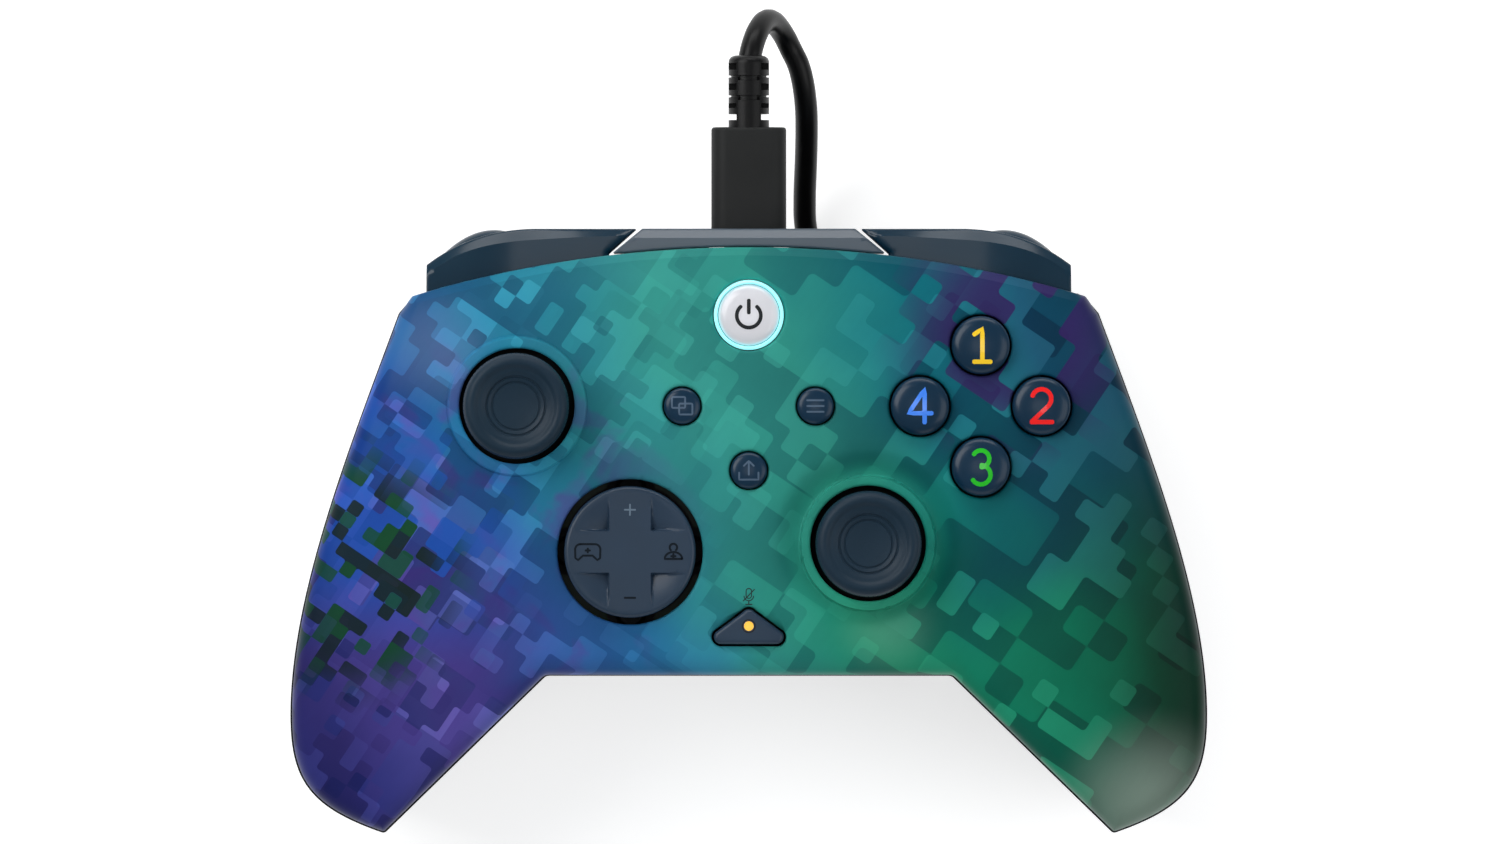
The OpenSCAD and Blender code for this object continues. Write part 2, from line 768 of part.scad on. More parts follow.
module dpad_cap() {
    top = face_at(dpad_x, dpad_y) + 1.6;
    plate = 2;
    skirt_z = 43.4;
    flange_t = 1.2;
    flange_r = dpad_hole_d / 2 + 0.9;
    skirt_t = 1.5;
    rib_half = 1.8;
    leg_z = board_z + 5.6;
    color(navy) at(dpad_at) difference() {
        union() {
            difference() {
                union() {
                    translate([0, 0, skirt_z]) cylinder(h = top - 0.5 - skirt_z, d = dpad_d);
                    intersection() {
                        translate([0, 0, skirt_z]) cylinder(h = top - skirt_z, d = dpad_d);
                        union() {
                            block([-dpad_d, -dpad_arm_w / 2, skirt_z], [dpad_d, dpad_arm_w / 2, top]);
                            block([-dpad_arm_w / 2, -dpad_d, skirt_z], [dpad_arm_w / 2, dpad_d, top]);
                        }
                    }
                    translate([0, 0, skirt_z - flange_t]) cylinder(h = flange_t, r = flange_r);
                }
                translate([0, 0, skirt_z - flange_t - 1])
                    cylinder(h = top - plate - skirt_z + flange_t + 1, r = dpad_d / 2 - skirt_t);
            }
            for (side = [-1, 1])
                translate([0, side * (dpad_ear_in + dpad_ear / 2), 0])
                    block([-rib_half, -dpad_ear / 2, dpad_pivot_z - 1.8],
                        [rib_half, dpad_ear / 2, top - plate / 2]);
            for (a = [0 : 90 : 270])
                rotate([0, 0, a]) translate([dpad_leg_at, 0, leg_z])
                    cylinder(h = skirt_z - flange_t / 2 - leg_z, r = 1.2);
        }
        translate([0, 0, dpad_pivot_z]) rotate([90, 0, 0])
            cylinder(h = 2 * (dpad_ear_in + dpad_ear) + 0.4, r = dpad_pin_r + running, center = true);
    }
}

pad_t = 1;
dome_foot_r = 3;
dome_top_r = 2;
dpad_sheet_r = 4;
dpad_dome_h = 3;
face_sheet_r = 5;
face_dome_h = 3.6;

// Rubber sheet with a dome under each leg or stem
module dome_pad(places, sheet_r, dome_h) {
    color("#3a3d42") {
        for (p = places) {
            at(p, board_z) cylinder(h = pad_t, r = sheet_r);
            at(p, board_z) cylinder(h = dome_h, r1 = dome_foot_r, r2 = dome_top_r);
        }
        children();
    }
}

module dpad_pad() {
    places = [for (a = [0 : 90 : 270]) dpad_at + dpad_leg_at * [cos(a), sin(a)]];
    dome_pad(places, dpad_sheet_r, dpad_dome_h)
        at(dpad_at, board_z) difference() {
            cylinder(h = pad_t, r = dpad_leg_at + pad_t);
            translate([0, 0, -1]) cylinder(h = far, r = dpad_leg_at - dpad_sheet_r);
        }
}

module face_pad() {
    dome_pad(face_places, face_sheet_r, face_dome_h)
        at(face_buttons_at, board_z) cylinder(h = pad_t, r = face_buttons_r);
}

// Round push button with a domed cap, a flange under the face and a stem
module push_button(place, d, rise, foot_z, flange_w) {
    top = face_at(place[0], place[1]) + rise;
    slope = norm([place[0], place[1] - face_y]) / face_r * (d / 2 + flange_w);
    flange_z = face_under(place[0], place[1]) - gap - slope;
    crown = d * 1.1;
    at(place) {
        intersection() {
            translate([0, 0, flange_z - 0.5]) cylinder(h = top - flange_z + 0.5, d = d);
            translate([0, 0, top - crown]) sphere(crown);
        }
        translate([0, 0, flange_z - 1.2]) cylinder(h = 1.2, r = d / 2 + flange_w);
        translate([0, 0, foot_z]) cylinder(h = flange_z - foot_z - 1, r = d / 2 - 1.6);
    }
}

face_foot = board_z + 3.6 + gap + face_button_travel;
small_foot = board_z + switch_h + gap + small_travel;

module face_button(place) {
    color(deep_navy) push_button(place, face_button_d, 2.4, face_foot, 0.9);
}

module small_button(place) {
    color(deep_navy) push_button(place, small_button_d, 1.1, small_foot, 0.9);
}

module guide_light_ring() {
    z1 = face_at(0, guide_y) + 0.5;
    z0 = face_under(0, guide_y) - 2;
    color("#a0fcff") difference() {
        at(guide_at, z0) cylinder(h = z1 - z0, d = guide_ring_d);
        at(guide_at, 0) cylinder(h = far, d = guide_ring_d - 2 * guide_ring_w);
    }
}

module guide_button() {
    d = guide_ring_d - 2 * guide_ring_w - 2 * gap;
    top = face_at(0, guide_y) + 1;
    crown = 24;
    z0 = face_under(0, guide_y) - 3;
    color("#d8d8dc") at(guide_at) {
        intersection() {
            translate([0, 0, z0]) cylinder(h = top - z0, d = d);
            translate([0, 0, top - crown]) sphere(crown);
        }
        translate([0, 0, small_foot]) cylinder(h = z0 - small_foot + 0.2, r = 2);
    }
}

module mic_button() {
    top = face_at(0, mic_y) + 0.7;
    z0 = face_under(0, mic_y) - 1.4;
    color(navy) at(mic_at) difference() {
        union() {
            translate([0, 0, z0]) linear_extrude(top - z0) mic_plan(0);
            translate([0, 0, small_foot]) cylinder(h = z0 - small_foot + 0.2, r = 2);
        }
        translate([0, 0, top - 2]) cylinder(h = far, d = mic_light_d + 2 * running);
    }
}

module mic_light() {
    top = face_at(0, mic_y) + 0.75;
    color("#f7c440") at(mic_at, top - 2.05) cylinder(h = 2.05, d = mic_light_d);
}

module tact_switches() {
    color(steel) for (p = switch_places)
        at(p, board_z) {
            block([-switch_w / 2, -switch_w / 2, 0], [switch_w / 2, switch_w / 2, switch_h - 0.8]);
            cylinder(h = switch_h, r = 1.2);
        }
}

module right_bumper_shape() {
    color(deep_navy) difference() {
        union() {
            translate([0, 0, bumper_z0]) linear_extrude(bumper_z1 - bumper_z0) bumper_plan(0, 0);
            at([bumper_pin_x, bumper_pin_y], bumper_z0) cylinder(h = bumper_z1 - bumper_z0, r = 2.9);
        }
        at([bumper_pin_x, bumper_pin_y], 0) cylinder(h = far, r = pin_r + running);
    }
}

module bumper_pins() {
    color(steel) mirror_pair() at([bumper_pin_x, bumper_pin_y], well_roof)
        cylinder(h = bumper_z1 - well_roof - 0.4, r = pin_r);
}

// Turn a shape drawn in the YZ plane to stand across X
module across_x(x0, x1) {
    translate([x0, 0, 0]) rotate([90, 0, 90]) linear_extrude(x1 - x0) children();
}

hub_r = 2.4;
spring_len = 3;
spring_in = pin_r + gap;
spring_out = spring_in + 0.8;
trigger_in = trigger_x - trigger_w / 2;
trigger_out = trigger_x + trigger_w / 2;

module right_trigger_shape() {
    front = front_y;
    sole_z = 4.6;
    roof = well_roof - 0.5;
    py = trigger_pin_y;
    pz = trigger_pin_z;
    plan_r = 18;
    color(navy) difference() {
        union() {
            intersection() {
                across_x(trigger_in, trigger_out) polygon([
                    [py, pz + hub_r], [py + 7, roof], [front - 1.8, roof], [front, roof - 1.8],
                    [front, roof - 7], [front - 1, sole_z + 7.4], [front - 3.2, sole_z + 1.9],
                    [front - 5.2, sole_z],
                    [front - 6, sole_z + 0.8], [front - 4.8, sole_z + 6.4], [front - 5, sole_z + 11.4],
                    [py + 6.4, pz - 2], [py, pz - hub_r]
                ]);
                at([trigger_x, front - plan_r]) cylinder(h = far, r = plan_r, $fn = 64);
            }
            across_x(trigger_in, trigger_out) translate([py, pz]) circle(hub_r);
        }
        across_x(0, far) translate([py, pz]) circle(pin_r + running);
        across_x(trigger_out - spring_len - gap, far) translate([py, pz]) circle(hub_r + 1);
    }
}

module right_bracket_shape() {
    py = trigger_pin_y;
    pz = trigger_pin_z;
    ear_y1 = py + 2.6;
    color(rubber_black) difference() {
        block([trigger_in - gap - ear_t, well_y, pz - 3], [trigger_out + gap + ear_t, ear_y1, well_roof]);
        block([trigger_in - gap, py - hub_r - gap, -1], [trigger_out + gap, far, far]);
        across_x(0, far) translate([py, pz]) circle(pin_r + running);
    }
}

module trigger_pins() {
    color(steel) mirror_pair()
        across_x(trigger_in - gap - ear_t, trigger_out + gap + ear_t)
            translate([trigger_pin_y, trigger_pin_z]) circle(pin_r);
}

module trigger_springs() {
    color(steel) mirror_pair()
        across_x(trigger_out - spring_len, trigger_out)
            translate([trigger_pin_y, trigger_pin_z]) difference() {
                circle(spring_out);
                circle(spring_in);
            }
}

module right_motor_shape() {
    color(steel) translate(motor_at) rotate([-90, 0, 0]) difference() {
        cylinder(h = motor_len, r = motor_r);
        translate([0, 0, motor_len - 5]) cylinder(h = far, r = motor_shaft_r + running);
    }
}

module right_weight_shape() {
    color("#8d7a4a") translate(motor_at) rotate([-90, 0, 0]) {
        translate([0, 0, motor_len - 4]) cylinder(h = weight_t + 5, r = motor_shaft_r);
        translate([0, 0, motor_len + 0.5]) intersection() {
            cylinder(h = weight_t, r = weight_r);
            block([-far, 0, 0], [far, far, weight_t]);
        }
    }
}

module motor_cradles() {
    for (y = [motor_at[1] + 2, motor_at[1] + motor_len - 4])
        difference() {
            block([motor_at[0] - cradle_w / 2, y, 3],
                [motor_at[0] + cradle_w / 2, y + cradle_t, motor_at[2]]);
            translate([motor_at[0], 0, motor_at[2]]) rotate([90, 0, 0])
                cylinder(h = far, r = motor_r + seat, center = true);
        }
}

module shell_screws() {
    color(steel) {
        at_screws(2) mirror([0, 0, 1]) cylinder(h = screw_head_h, r = screw_head_r);
        for (s = screw_places)
            for (side = [-1, 1])
                at([side * s[0], s[1]], s[2]) cylinder(h = parting_z + screw_reach - 1 - s[2], r = screw_r);
    }
}

module cable_plug() {
    color(rubber_black) block([-plug_w / 2, plug_y0, port_z - plug_t / 2],
        [plug_w / 2, plug_y1, port_z + plug_t / 2]);
}

module plug_tip() {
    color(steel) block([gap - port_w / 2, port_y0 + 2, port_z + gap - port_h / 2],
        [port_w / 2 - gap, plug_y0, port_z - gap + port_h / 2]);
}

module strain_relief() {
    ring_r = relief_d / 2;
    core_r = cord_r + 0.3;
    ring_t = 1.9;
    rings = 4;
    step = (relief_len - ring_t) / (rings - 1);
    color(rubber_black) at([0, plug_y1], port_z) rotate([-90, 0, 0]) {
        cylinder(h = relief_len, r = core_r);
        for (i = [0 : rings - 1])
            translate([0, 0, i * step]) cylinder(h = ring_t, r = ring_r - 0.15 * i);
    }
}

module cord_lead() {
    color(rubber_black) tube(lead_points, cord_r, 8);
}

module cord_coil() {
    color(rubber_black) tube(coil_points, cord_r, 6);
}

module cord_tail() {
    color(rubber_black) tube(tail_points, cord_r, 8);
}

// Strap round the coil's left side
module cord_tie() {
    band = 8;
    thick = 0.8;
    in_r = coil_r - coil_pitch * layer_turns - cord_r - gap;
    out_r = coil_r + cord_r + gap;
    low = coil_z - cord_r - gap;
    high = coil_z + coil_pitch * (coil_layers - 1) + cord_r + gap;
    color(rubber_black) at(coil_at) difference() {
        block([-out_r - thick, -band / 2, low - thick], [-in_r + thick, band / 2, high + thick]);
        block([-out_r, -band, low], [-in_r, band, high]);
    }
}

module host_plug() {
    half = [host_w / 2, 0, host_t / 2];
    color(rubber_black) block(host_at - half - [0, host_len, 0], host_at + half);
}

module host_plug_shell() {
    y1 = host_at[1] - host_len;
    y0 = y1 - host_shell_len;
    x = host_at[0];
    z = host_at[2];
    t = host_shell_wall;
    color(steel) difference() {
        block([x - host_shell_w / 2, y0, z - host_shell_t / 2],
            [x + host_shell_w / 2, y1, z + host_shell_t / 2]);
        block([x - host_shell_w / 2 + t, y0 - 1, z - t / 2],
            [x + host_shell_w / 2 - t, y1 - 2, z + host_shell_t / 2 - t]);
    }
}

front_shell();
rear_shell();
center_trim();
main_board();
port_socket();
headset_jack();
stick_base(left_stick_at);  // left_stick_base
stick_yoke(left_stick_at);  // left_stick_yoke
stick_cradle(left_stick_at);  // left_stick_cradle
stick(left_stick_at);  // left_stick
stick_base(right_stick_at);  // right_stick_base
stick_yoke(right_stick_at);  // right_stick_yoke
stick_cradle(right_stick_at);  // right_stick_cradle
stick(right_stick_at);  // right_stick
dpad_base();
dpad_cross();
dpad_cap();
dpad_pad();
face_button(face_top_at);  // face_button_top
face_button(face_right_at);  // face_button_right
face_button(face_bottom_at);  // face_button_bottom
face_button(face_left_at);  // face_button_left
face_pad();
guide_light_ring();
guide_button();
small_button(view_at);  // view_button
small_button(menu_at);  // menu_button
small_button(share_at);  // share_button
mic_button();
mic_light();
tact_switches();
mirror([1, 0, 0]) right_bumper_shape();  // left_bumper
right_bumper_shape();  // right_bumper
bumper_pins();
mirror([1, 0, 0]) right_trigger_shape();  // left_trigger
right_trigger_shape();  // right_trigger
mirror([1, 0, 0]) right_bracket_shape();  // left_trigger_bracket
right_bracket_shape();  // right_trigger_bracket
trigger_pins();
trigger_springs();
mirror([1, 0, 0]) right_motor_shape();  // left_rumble_motor
right_motor_shape();  // right_rumble_motor
mirror([1, 0, 0]) right_weight_shape();  // left_rumble_weight
right_weight_shape();  // right_rumble_weight
shell_screws();
cable_plug();
plug_tip();
strain_relief();
cord_lead();
cord_coil();
cord_tail();
cord_tie();
host_plug();
host_plug_shell();
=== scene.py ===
"""A wired gamepad seen from above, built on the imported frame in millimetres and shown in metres."""

import json
import math

import bpy
import numpy as np
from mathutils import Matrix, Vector
from mathutils.geometry import delaunay_2d_cdt

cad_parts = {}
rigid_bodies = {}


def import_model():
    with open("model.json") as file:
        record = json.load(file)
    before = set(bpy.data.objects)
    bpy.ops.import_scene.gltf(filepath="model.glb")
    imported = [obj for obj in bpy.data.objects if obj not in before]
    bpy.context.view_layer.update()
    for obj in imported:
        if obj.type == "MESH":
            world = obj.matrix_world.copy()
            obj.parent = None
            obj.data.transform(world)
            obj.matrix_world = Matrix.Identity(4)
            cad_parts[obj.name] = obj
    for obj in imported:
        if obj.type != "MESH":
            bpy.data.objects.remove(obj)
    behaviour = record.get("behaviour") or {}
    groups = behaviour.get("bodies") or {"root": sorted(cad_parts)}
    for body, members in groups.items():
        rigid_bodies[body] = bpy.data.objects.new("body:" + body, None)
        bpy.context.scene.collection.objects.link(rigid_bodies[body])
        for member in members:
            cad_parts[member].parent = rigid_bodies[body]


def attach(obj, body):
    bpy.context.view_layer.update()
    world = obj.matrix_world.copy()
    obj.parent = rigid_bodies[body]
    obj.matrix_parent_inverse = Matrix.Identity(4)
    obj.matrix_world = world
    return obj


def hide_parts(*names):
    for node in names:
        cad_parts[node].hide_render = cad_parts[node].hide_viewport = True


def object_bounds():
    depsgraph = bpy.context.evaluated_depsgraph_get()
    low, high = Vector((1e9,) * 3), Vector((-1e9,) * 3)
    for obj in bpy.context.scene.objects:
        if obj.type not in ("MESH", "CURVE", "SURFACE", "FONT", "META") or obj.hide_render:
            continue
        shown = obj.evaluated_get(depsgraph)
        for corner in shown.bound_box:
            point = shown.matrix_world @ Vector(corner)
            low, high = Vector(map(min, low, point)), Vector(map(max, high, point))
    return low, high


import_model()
cad_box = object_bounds()

MM = 0.001
FACE_Z, FACE_R, FACE_Y = 50.0, 300.0, 8.0
PARTING_Z, BELLY_Z = 31.0, 20.5
EDGE_R = 5.0
FRONT_Y, TOP_Y = 50.4, 47.3
LEFT_STICK, RIGHT_STICK = (-38.5, 20.9), (19.8, -1.9)
STICK_HOLE_R, STICK_CAP_R, STICK_TOP_Z = 9.6, 8.75, 61.0
DPAD, DPAD_R, DPAD_HOLE_R = (-19.7, -3.3), 10.9, 12.05
FACE_BUTTONS, FACE_BUTTONS_R = (38.5, 20.9), 10.1
FACE_CAP_R, FACE_RISE = 4.825, 2.4
SMALL_CAP_R, SMALL_RISE = 3.02, 1.0
VIEW, MENU, SHARE = (-11.05, 20.9), (11.05, 20.9), (0.0, 10.2)
GUIDE, GUIDE_R, RING_R = (0.0, 36.0), 5.1, 5.8
MIC = (0.0, -15.7)
PORT_Z = 32.2
SHOULDER_Y, TOP_BEVEL, SHELL_WALL = 36.0, 1.4, 1.2
TOP_CURVE = ((0, TOP_Y), (20, TOP_Y), (39, 44.3), (56, 39.2))
REAR_EDGE_Z, ROOF_Z, SCALLOP_Z = 27.4, 27.5, 15.6
FOOT, FOOT_R, FOOT_DEPTH, LOBE_DEPTH = (48.0, 20.0), 15.5, 21.0, 5.5
SCREWS, SCREW_HOLE_R = ((57.0, 27.0, 22.9), (62.0, -39.0, 14.0), (14.0, -20.3, 22.9)), 2.6
SIDES = ((-1, "left"), (1, "right"))


# Curves and loops in the plane


def bezier(a, b, c, d, n):
    """n points from a, without d."""
    t = np.linspace(0, 1, n, endpoint=False)[:, None]
    a, b, c, d = (np.asarray(p, float) for p in (a, b, c, d))
    return (1 - t) ** 3 * a + 3 * (1 - t) ** 2 * t * b + 3 * (1 - t) * t**2 * c + t**3 * d


def ring(centre, r, n=96):
    a = np.arange(n) * 2 * np.pi / n
    return np.column_stack([centre[0] + r * np.cos(a), centre[1] + r * np.sin(a)])


def filleted(corners, steps=5):
    """A loop through (x, y, radius) corners, each rounded with its own radius."""
    out = []
    pts = [np.array(c[:2], float) for c in corners]
    for i, c in enumerate(corners):
        p, a, b = pts[i], pts[i - 1], pts[(i + 1) % len(pts)]
        if c[2] <= 0:
            out.append(p)
            continue
        u, v = (a - p) / np.linalg.norm(a - p), (b - p) / np.linalg.norm(b - p)
        half = math.acos(np.clip(u @ v, -1, 1)) / 2
        back = min(c[2] / math.tan(half), 0.48 * np.linalg.norm(a - p), 0.48 * np.linalg.norm(b - p))
        mid = p + (u + v) / np.linalg.norm(u + v) * back / math.cos(half)
        start, end = p + u * back - mid, p + v * back - mid
        for t in np.linspace(0, 1, steps + 1):
            w = start * (1 - t) + end * t
            out.append(mid + w / np.linalg.norm(w) * np.linalg.norm(start))
    return np.array(out)


def resampled(loop, step):
    """The closed loop with no stretch longer than step."""
    out = []
    for a, b in zip(loop, np.roll(loop, -1, axis=0)):
        n = max(1, int(math.ceil(np.linalg.norm(b - a) / step)))
        out += [a + (b - a) * k / n for k in range(n)]
    return np.array(out)


def away(points, loop, closed=True):
    """Distance of each point from the loop, or from an open line."""
    p = np.asarray(points, float)
    e = np.roll(loop, -1, axis=0) - loop
    best = np.full(len(p), np.inf)
    for s, d in zip(loop, e if closed else e[:-1]):
        t = np.clip(((p - s) @ d) / (d @ d), 0, 1)
        best = np.minimum(best, np.sum((p - s - t[:, None] * d) ** 2, axis=1))
    return np.sqrt(best)


def inside(points, loop):
    p = np.asarray(points, float)
    hit = np.zeros(len(p), bool)
    for a, b in zip(loop, np.roll(loop, -1, axis=0)):
        if a[1] == b[1]:
            continue
        cross = (a[1] > p[:, 1]) != (b[1] > p[:, 1])
        x = a[0] + (p[:, 1] - a[1]) * (b[0] - a[0]) / (b[1] - a[1])
        hit ^= cross & (p[:, 0] < x)
    return hit


def inward(loop):
    """Unit normals of the loop, which point to its inside."""
    area = np.sum(loop[:, 0] * np.roll(loop[:, 1], -1) - np.roll(loop[:, 0], -1) * loop[:, 1])
    t = np.roll(loop, -1, axis=0) - np.roll(loop, 1, axis=0)
    t /= np.linalg.norm(t, axis=1)[:, None]
    return np.column_stack([-t[:, 1], t[:, 0]]) * np.sign(area)


def room_inside(loop):
    """Radius of the largest disc inside the loop that touches it at each of its points."""
    gap = loop[None] - loop[:, None]
    ahead = np.einsum("ijk,ik->ij", gap, inward(loop))
    size = np.sum(gap**2, axis=2)
    return np.min(np.where(ahead > 1e-6, size / (2 * np.maximum(ahead, 1e-6)), 1e9), axis=1)


def inset(loop, d):
    """Points at distance d inside the loop; those that fall nearer to another stretch are dropped."""
    p = loop + inward(loop) * d
    return p[inside(p, loop) & (away(p, loop) > 0.93 * d)]


def beside(line, d):
    """The open line moved to its right by d, which may differ from point to point."""
    t = np.gradient(line, axis=0)
    t /= np.linalg.norm(t, axis=1)[:, None]
    return line + np.column_stack([t[:, 1], -t[:, 0]]) * np.reshape(d, (-1, 1))


def smooth(x, lo, hi):
    t = np.clip((x - lo) / (hi - lo), 0, 1)
    return t * t * (3 - 2 * t)


def rolled(d, r, p=2.0):
    """Drop of a rounded edge of size r at distance d from it; a higher p keeps it flat for longer."""
    u = np.clip(1 - d / r, 0, 1)
    return r * (1 - (1 - u**p) ** (1 / p))


def face_at(x, y):
    return FACE_Z - FACE_R + np.sqrt(FACE_R**2 - x * x - (y - FACE_Y) ** 2)


# Meshes


def mesh_piece(name, verts, faces, sharp=40.0, creases=()):
    """An object from points in millimetres, smooth up to the sharp angle and sharp between creased points."""
    me = bpy.data.meshes.new(name)
    me.from_pydata([tuple(float(c) * MM for c in v) for v in verts], [], [tuple(map(int, f)) for f in faces])
    me.validate()
    me.shade_smooth()
    me.set_sharp_from_angle(angle=math.radians(sharp))
    creases = set(creases)
    for e in me.edges:
        if e.vertices[0] in creases and e.vertices[1] in creases:
            e.use_edge_sharp = True
    ob = bpy.data.objects.new(name, me)
    bpy.context.scene.collection.objects.link(ob)
    return ob


def triangles(loops, free, holes=(), folds=()):
    """Points and triangles of the area in loops[0] without the holes, with edges along loops and folds."""
    pts, edges = [], []
    for lp in loops:
        k = len(pts)
        pts += [Vector(p) for p in lp]
        edges += [(k + i, k + (i + 1) % len(lp)) for i in range(len(lp))]
    for line in folds:
        k = len(pts)
        pts += [Vector(p) for p in line]
        edges += [(k + i, k + i + 1) for i in range(len(line) - 1)]
        free = free[away(free, line, False) > 0.25]
    pts += [Vector(p) for p in free]
    v, _, f, _, _, _ = delaunay_2d_cdt(pts, edges, [], 1, 1e-5)
    v = np.array([tuple(p) for p in v])
    f = np.array([t for t in f if len(t) == 3])
    mid = v[f].mean(axis=1)
    keep = inside(mid, loops[0])
    for h in holes:
        keep &= ~inside(mid, h)
    return v, f[keep]


def grid(loop, step, margin):
    """Staggered points inside the loop, at least margin away from it."""
    lo, hi = loop.min(axis=0), loop.max(axis=0)
    rows = np.arange(lo[1] + step / 2, hi[1], step * 0.87)
    p = np.array([
        (x + (step / 2 if j % 2 else 0), y)
        for j, y in enumerate(rows)
        for x in np.arange(lo[0] + step / 4, hi[0], step)
    ])
    p = p[inside(p, loop)]
    return p[away(p, loop) > margin]


def lathe(name, profile, centre, n=96, sharp=40.0):
    """A turned piece; its (radius, height) profile ends in the middle of the top or where it started."""
    verts, faces, rows = [], [], []
    for r, z in profile:
        if rows and (r, z) == profile[0]:
            rows.append(rows[0])
            continue
        if r <= 0:
            rows.append([len(verts)] * n)
            verts.append((centre[0], centre[1], z))
            continue
        rows.append(list(range(len(verts), len(verts) + n)))
        verts += [(x, y, z) for x, y in ring(centre, r, n)]
    for a, b in zip(rows, rows[1:]):
        for i in range(n):
            j = (i + 1) % n
            f = [a[i], a[j], b[j], b[i]]
            f = [q for k, q in enumerate(f) if q not in f[:k]]
            if len(f) > 2:
                faces.append(f)
    return mesh_piece(name, verts, faces, sharp)


def on_lines(v, lines):
    """Numbers of the points that lie on one of the open lines."""
    return [int(i) for line in lines for i in np.flatnonzero(away(v, line, False) < 0.002)]


def pillow(name, loop, top, bottom, insets=(0.1, 0.35, 0.8, 1.5), step=1.5, extra=(), sharp=40.0, folds=()):
    """A closed piece over the loop; top and bottom give heights from points and distances to the loop."""
    free = [p for d in insets for p in inset(loop, d)]
    free += list(grid(loop, step, insets[-1] + 0.6 * step))
    for lp in extra:
        free += list(lp)
    v, f = triangles([loop], np.array(free), (), folds)
    d = away(v, loop)
    n = len(v)
    up = np.column_stack([v, top(v[:, 0], v[:, 1], d)])
    low = np.column_stack([v, bottom(v[:, 0], v[:, 1], d)])
    faces = [tuple(t) for t in f] + [tuple(q + n for q in t[::-1]) for t in f]
    faces += [(b, a, a + n, b + n) for a, b in rim_edges(f)]
    return mesh_piece(name, np.vstack([up, low]), faces, sharp, on_lines(v, folds))


def rim_edges(f):
    """The directed edges that only one triangle has."""
    edges = {}
    for t in f:
        for a, b in ((t[0], t[1]), (t[1], t[2]), (t[2], t[0])):
            edges[(a, b)] = True
    return [(a, b) for a, b in edges if (b, a) not in edges]


def skin(rows, n):
    """Faces of a closed tube of rows with n points each, with a flat end at the first and the last row."""
    faces = []
    for r in range(rows - 1):
        for i in range(n):
            j = (i + 1) % n
            faces.append((r * n + i, (r + 1) * n + i, (r + 1) * n + j, r * n + j))
    last = (rows - 1) * n
    return faces + [tuple(range(n)), tuple(last + i for i in reversed(range(n)))]


def level(z):
    """Height function of a flat surface."""
    return lambda x, y, d: z + 0 * x


def hollow(ob):
    """Gives a cover its wall, inwards from its outside."""
    wall = ob.modifiers.new("wall", "SOLIDIFY")
    wall.thickness, wall.offset = SHELL_WALL * MM, -1.0


def ribbon(strokes, width, height, lift=0.03, sink=0.15):
    """Points and faces of raised strips along the strokes, lying on the surface that height gives."""
    verts, faces = [], []
    for k, s in enumerate(strokes):
        s = np.asarray(s, float)
        dense = [s[0]]
        for a, b in zip(s, s[1:]):
            n = max(1, int(np.linalg.norm(b - a) / (1.2 * width)) + 1)
            dense += [a + (b - a) * i / n for i in range(1, n + 1)]
        p = np.array(dense)
        t = np.gradient(p, axis=0)
        t /= np.linalg.norm(t, axis=1)[:, None]
        side = np.column_stack([-t[:, 1], t[:, 0]]) * width / 2
        p = np.vstack([p[0] - t[0] * width * 0.3, p, p[-1] + t[-1] * width * 0.3])
        side = np.vstack([side[0] * 0.55, side, side[-1] * 0.55])
        base = len(verts)
        up = lift + 0.006 * k
        for q, w in zip(p, side):
            for u, h in ((-1, -sink), (-1, up), (0, up), (1, up), (1, -sink)):
                x, y = q + w * u
                verts.append((x, y, float(height(x, y)) + h))
        for i in range(len(p) - 1):
            a, b = base + 5 * i, base + 5 * (i + 1)
            faces += [(a + j + 1, a + j, b + j, b + j + 1) for j in range(4)]
        last = base + 5 * (len(p) - 1)
        faces += [tuple(base + j for j in range(5)), tuple(last + j for j in reversed(range(5)))]
    return verts, faces


def joined(name, parts, sharp=40.0):
    """One piece from several (points, faces) pairs."""
    verts, faces = [], []
    for v, f in parts:
        k = len(verts)
        verts += list(v)
        faces += [tuple(i + k for i in t) for t in f]
    return mesh_piece(name, verts, faces, sharp)


def place(obj, body, nodes=(), material=None):
    """Fastens the piece to its body, lets it stand for CAD nodes and gives it its material."""
    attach(obj, body)
    if nodes:
        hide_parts(*nodes)
    if material:
        obj.data.materials.clear()
        obj.data.materials.append(material)
    return obj


# Materials


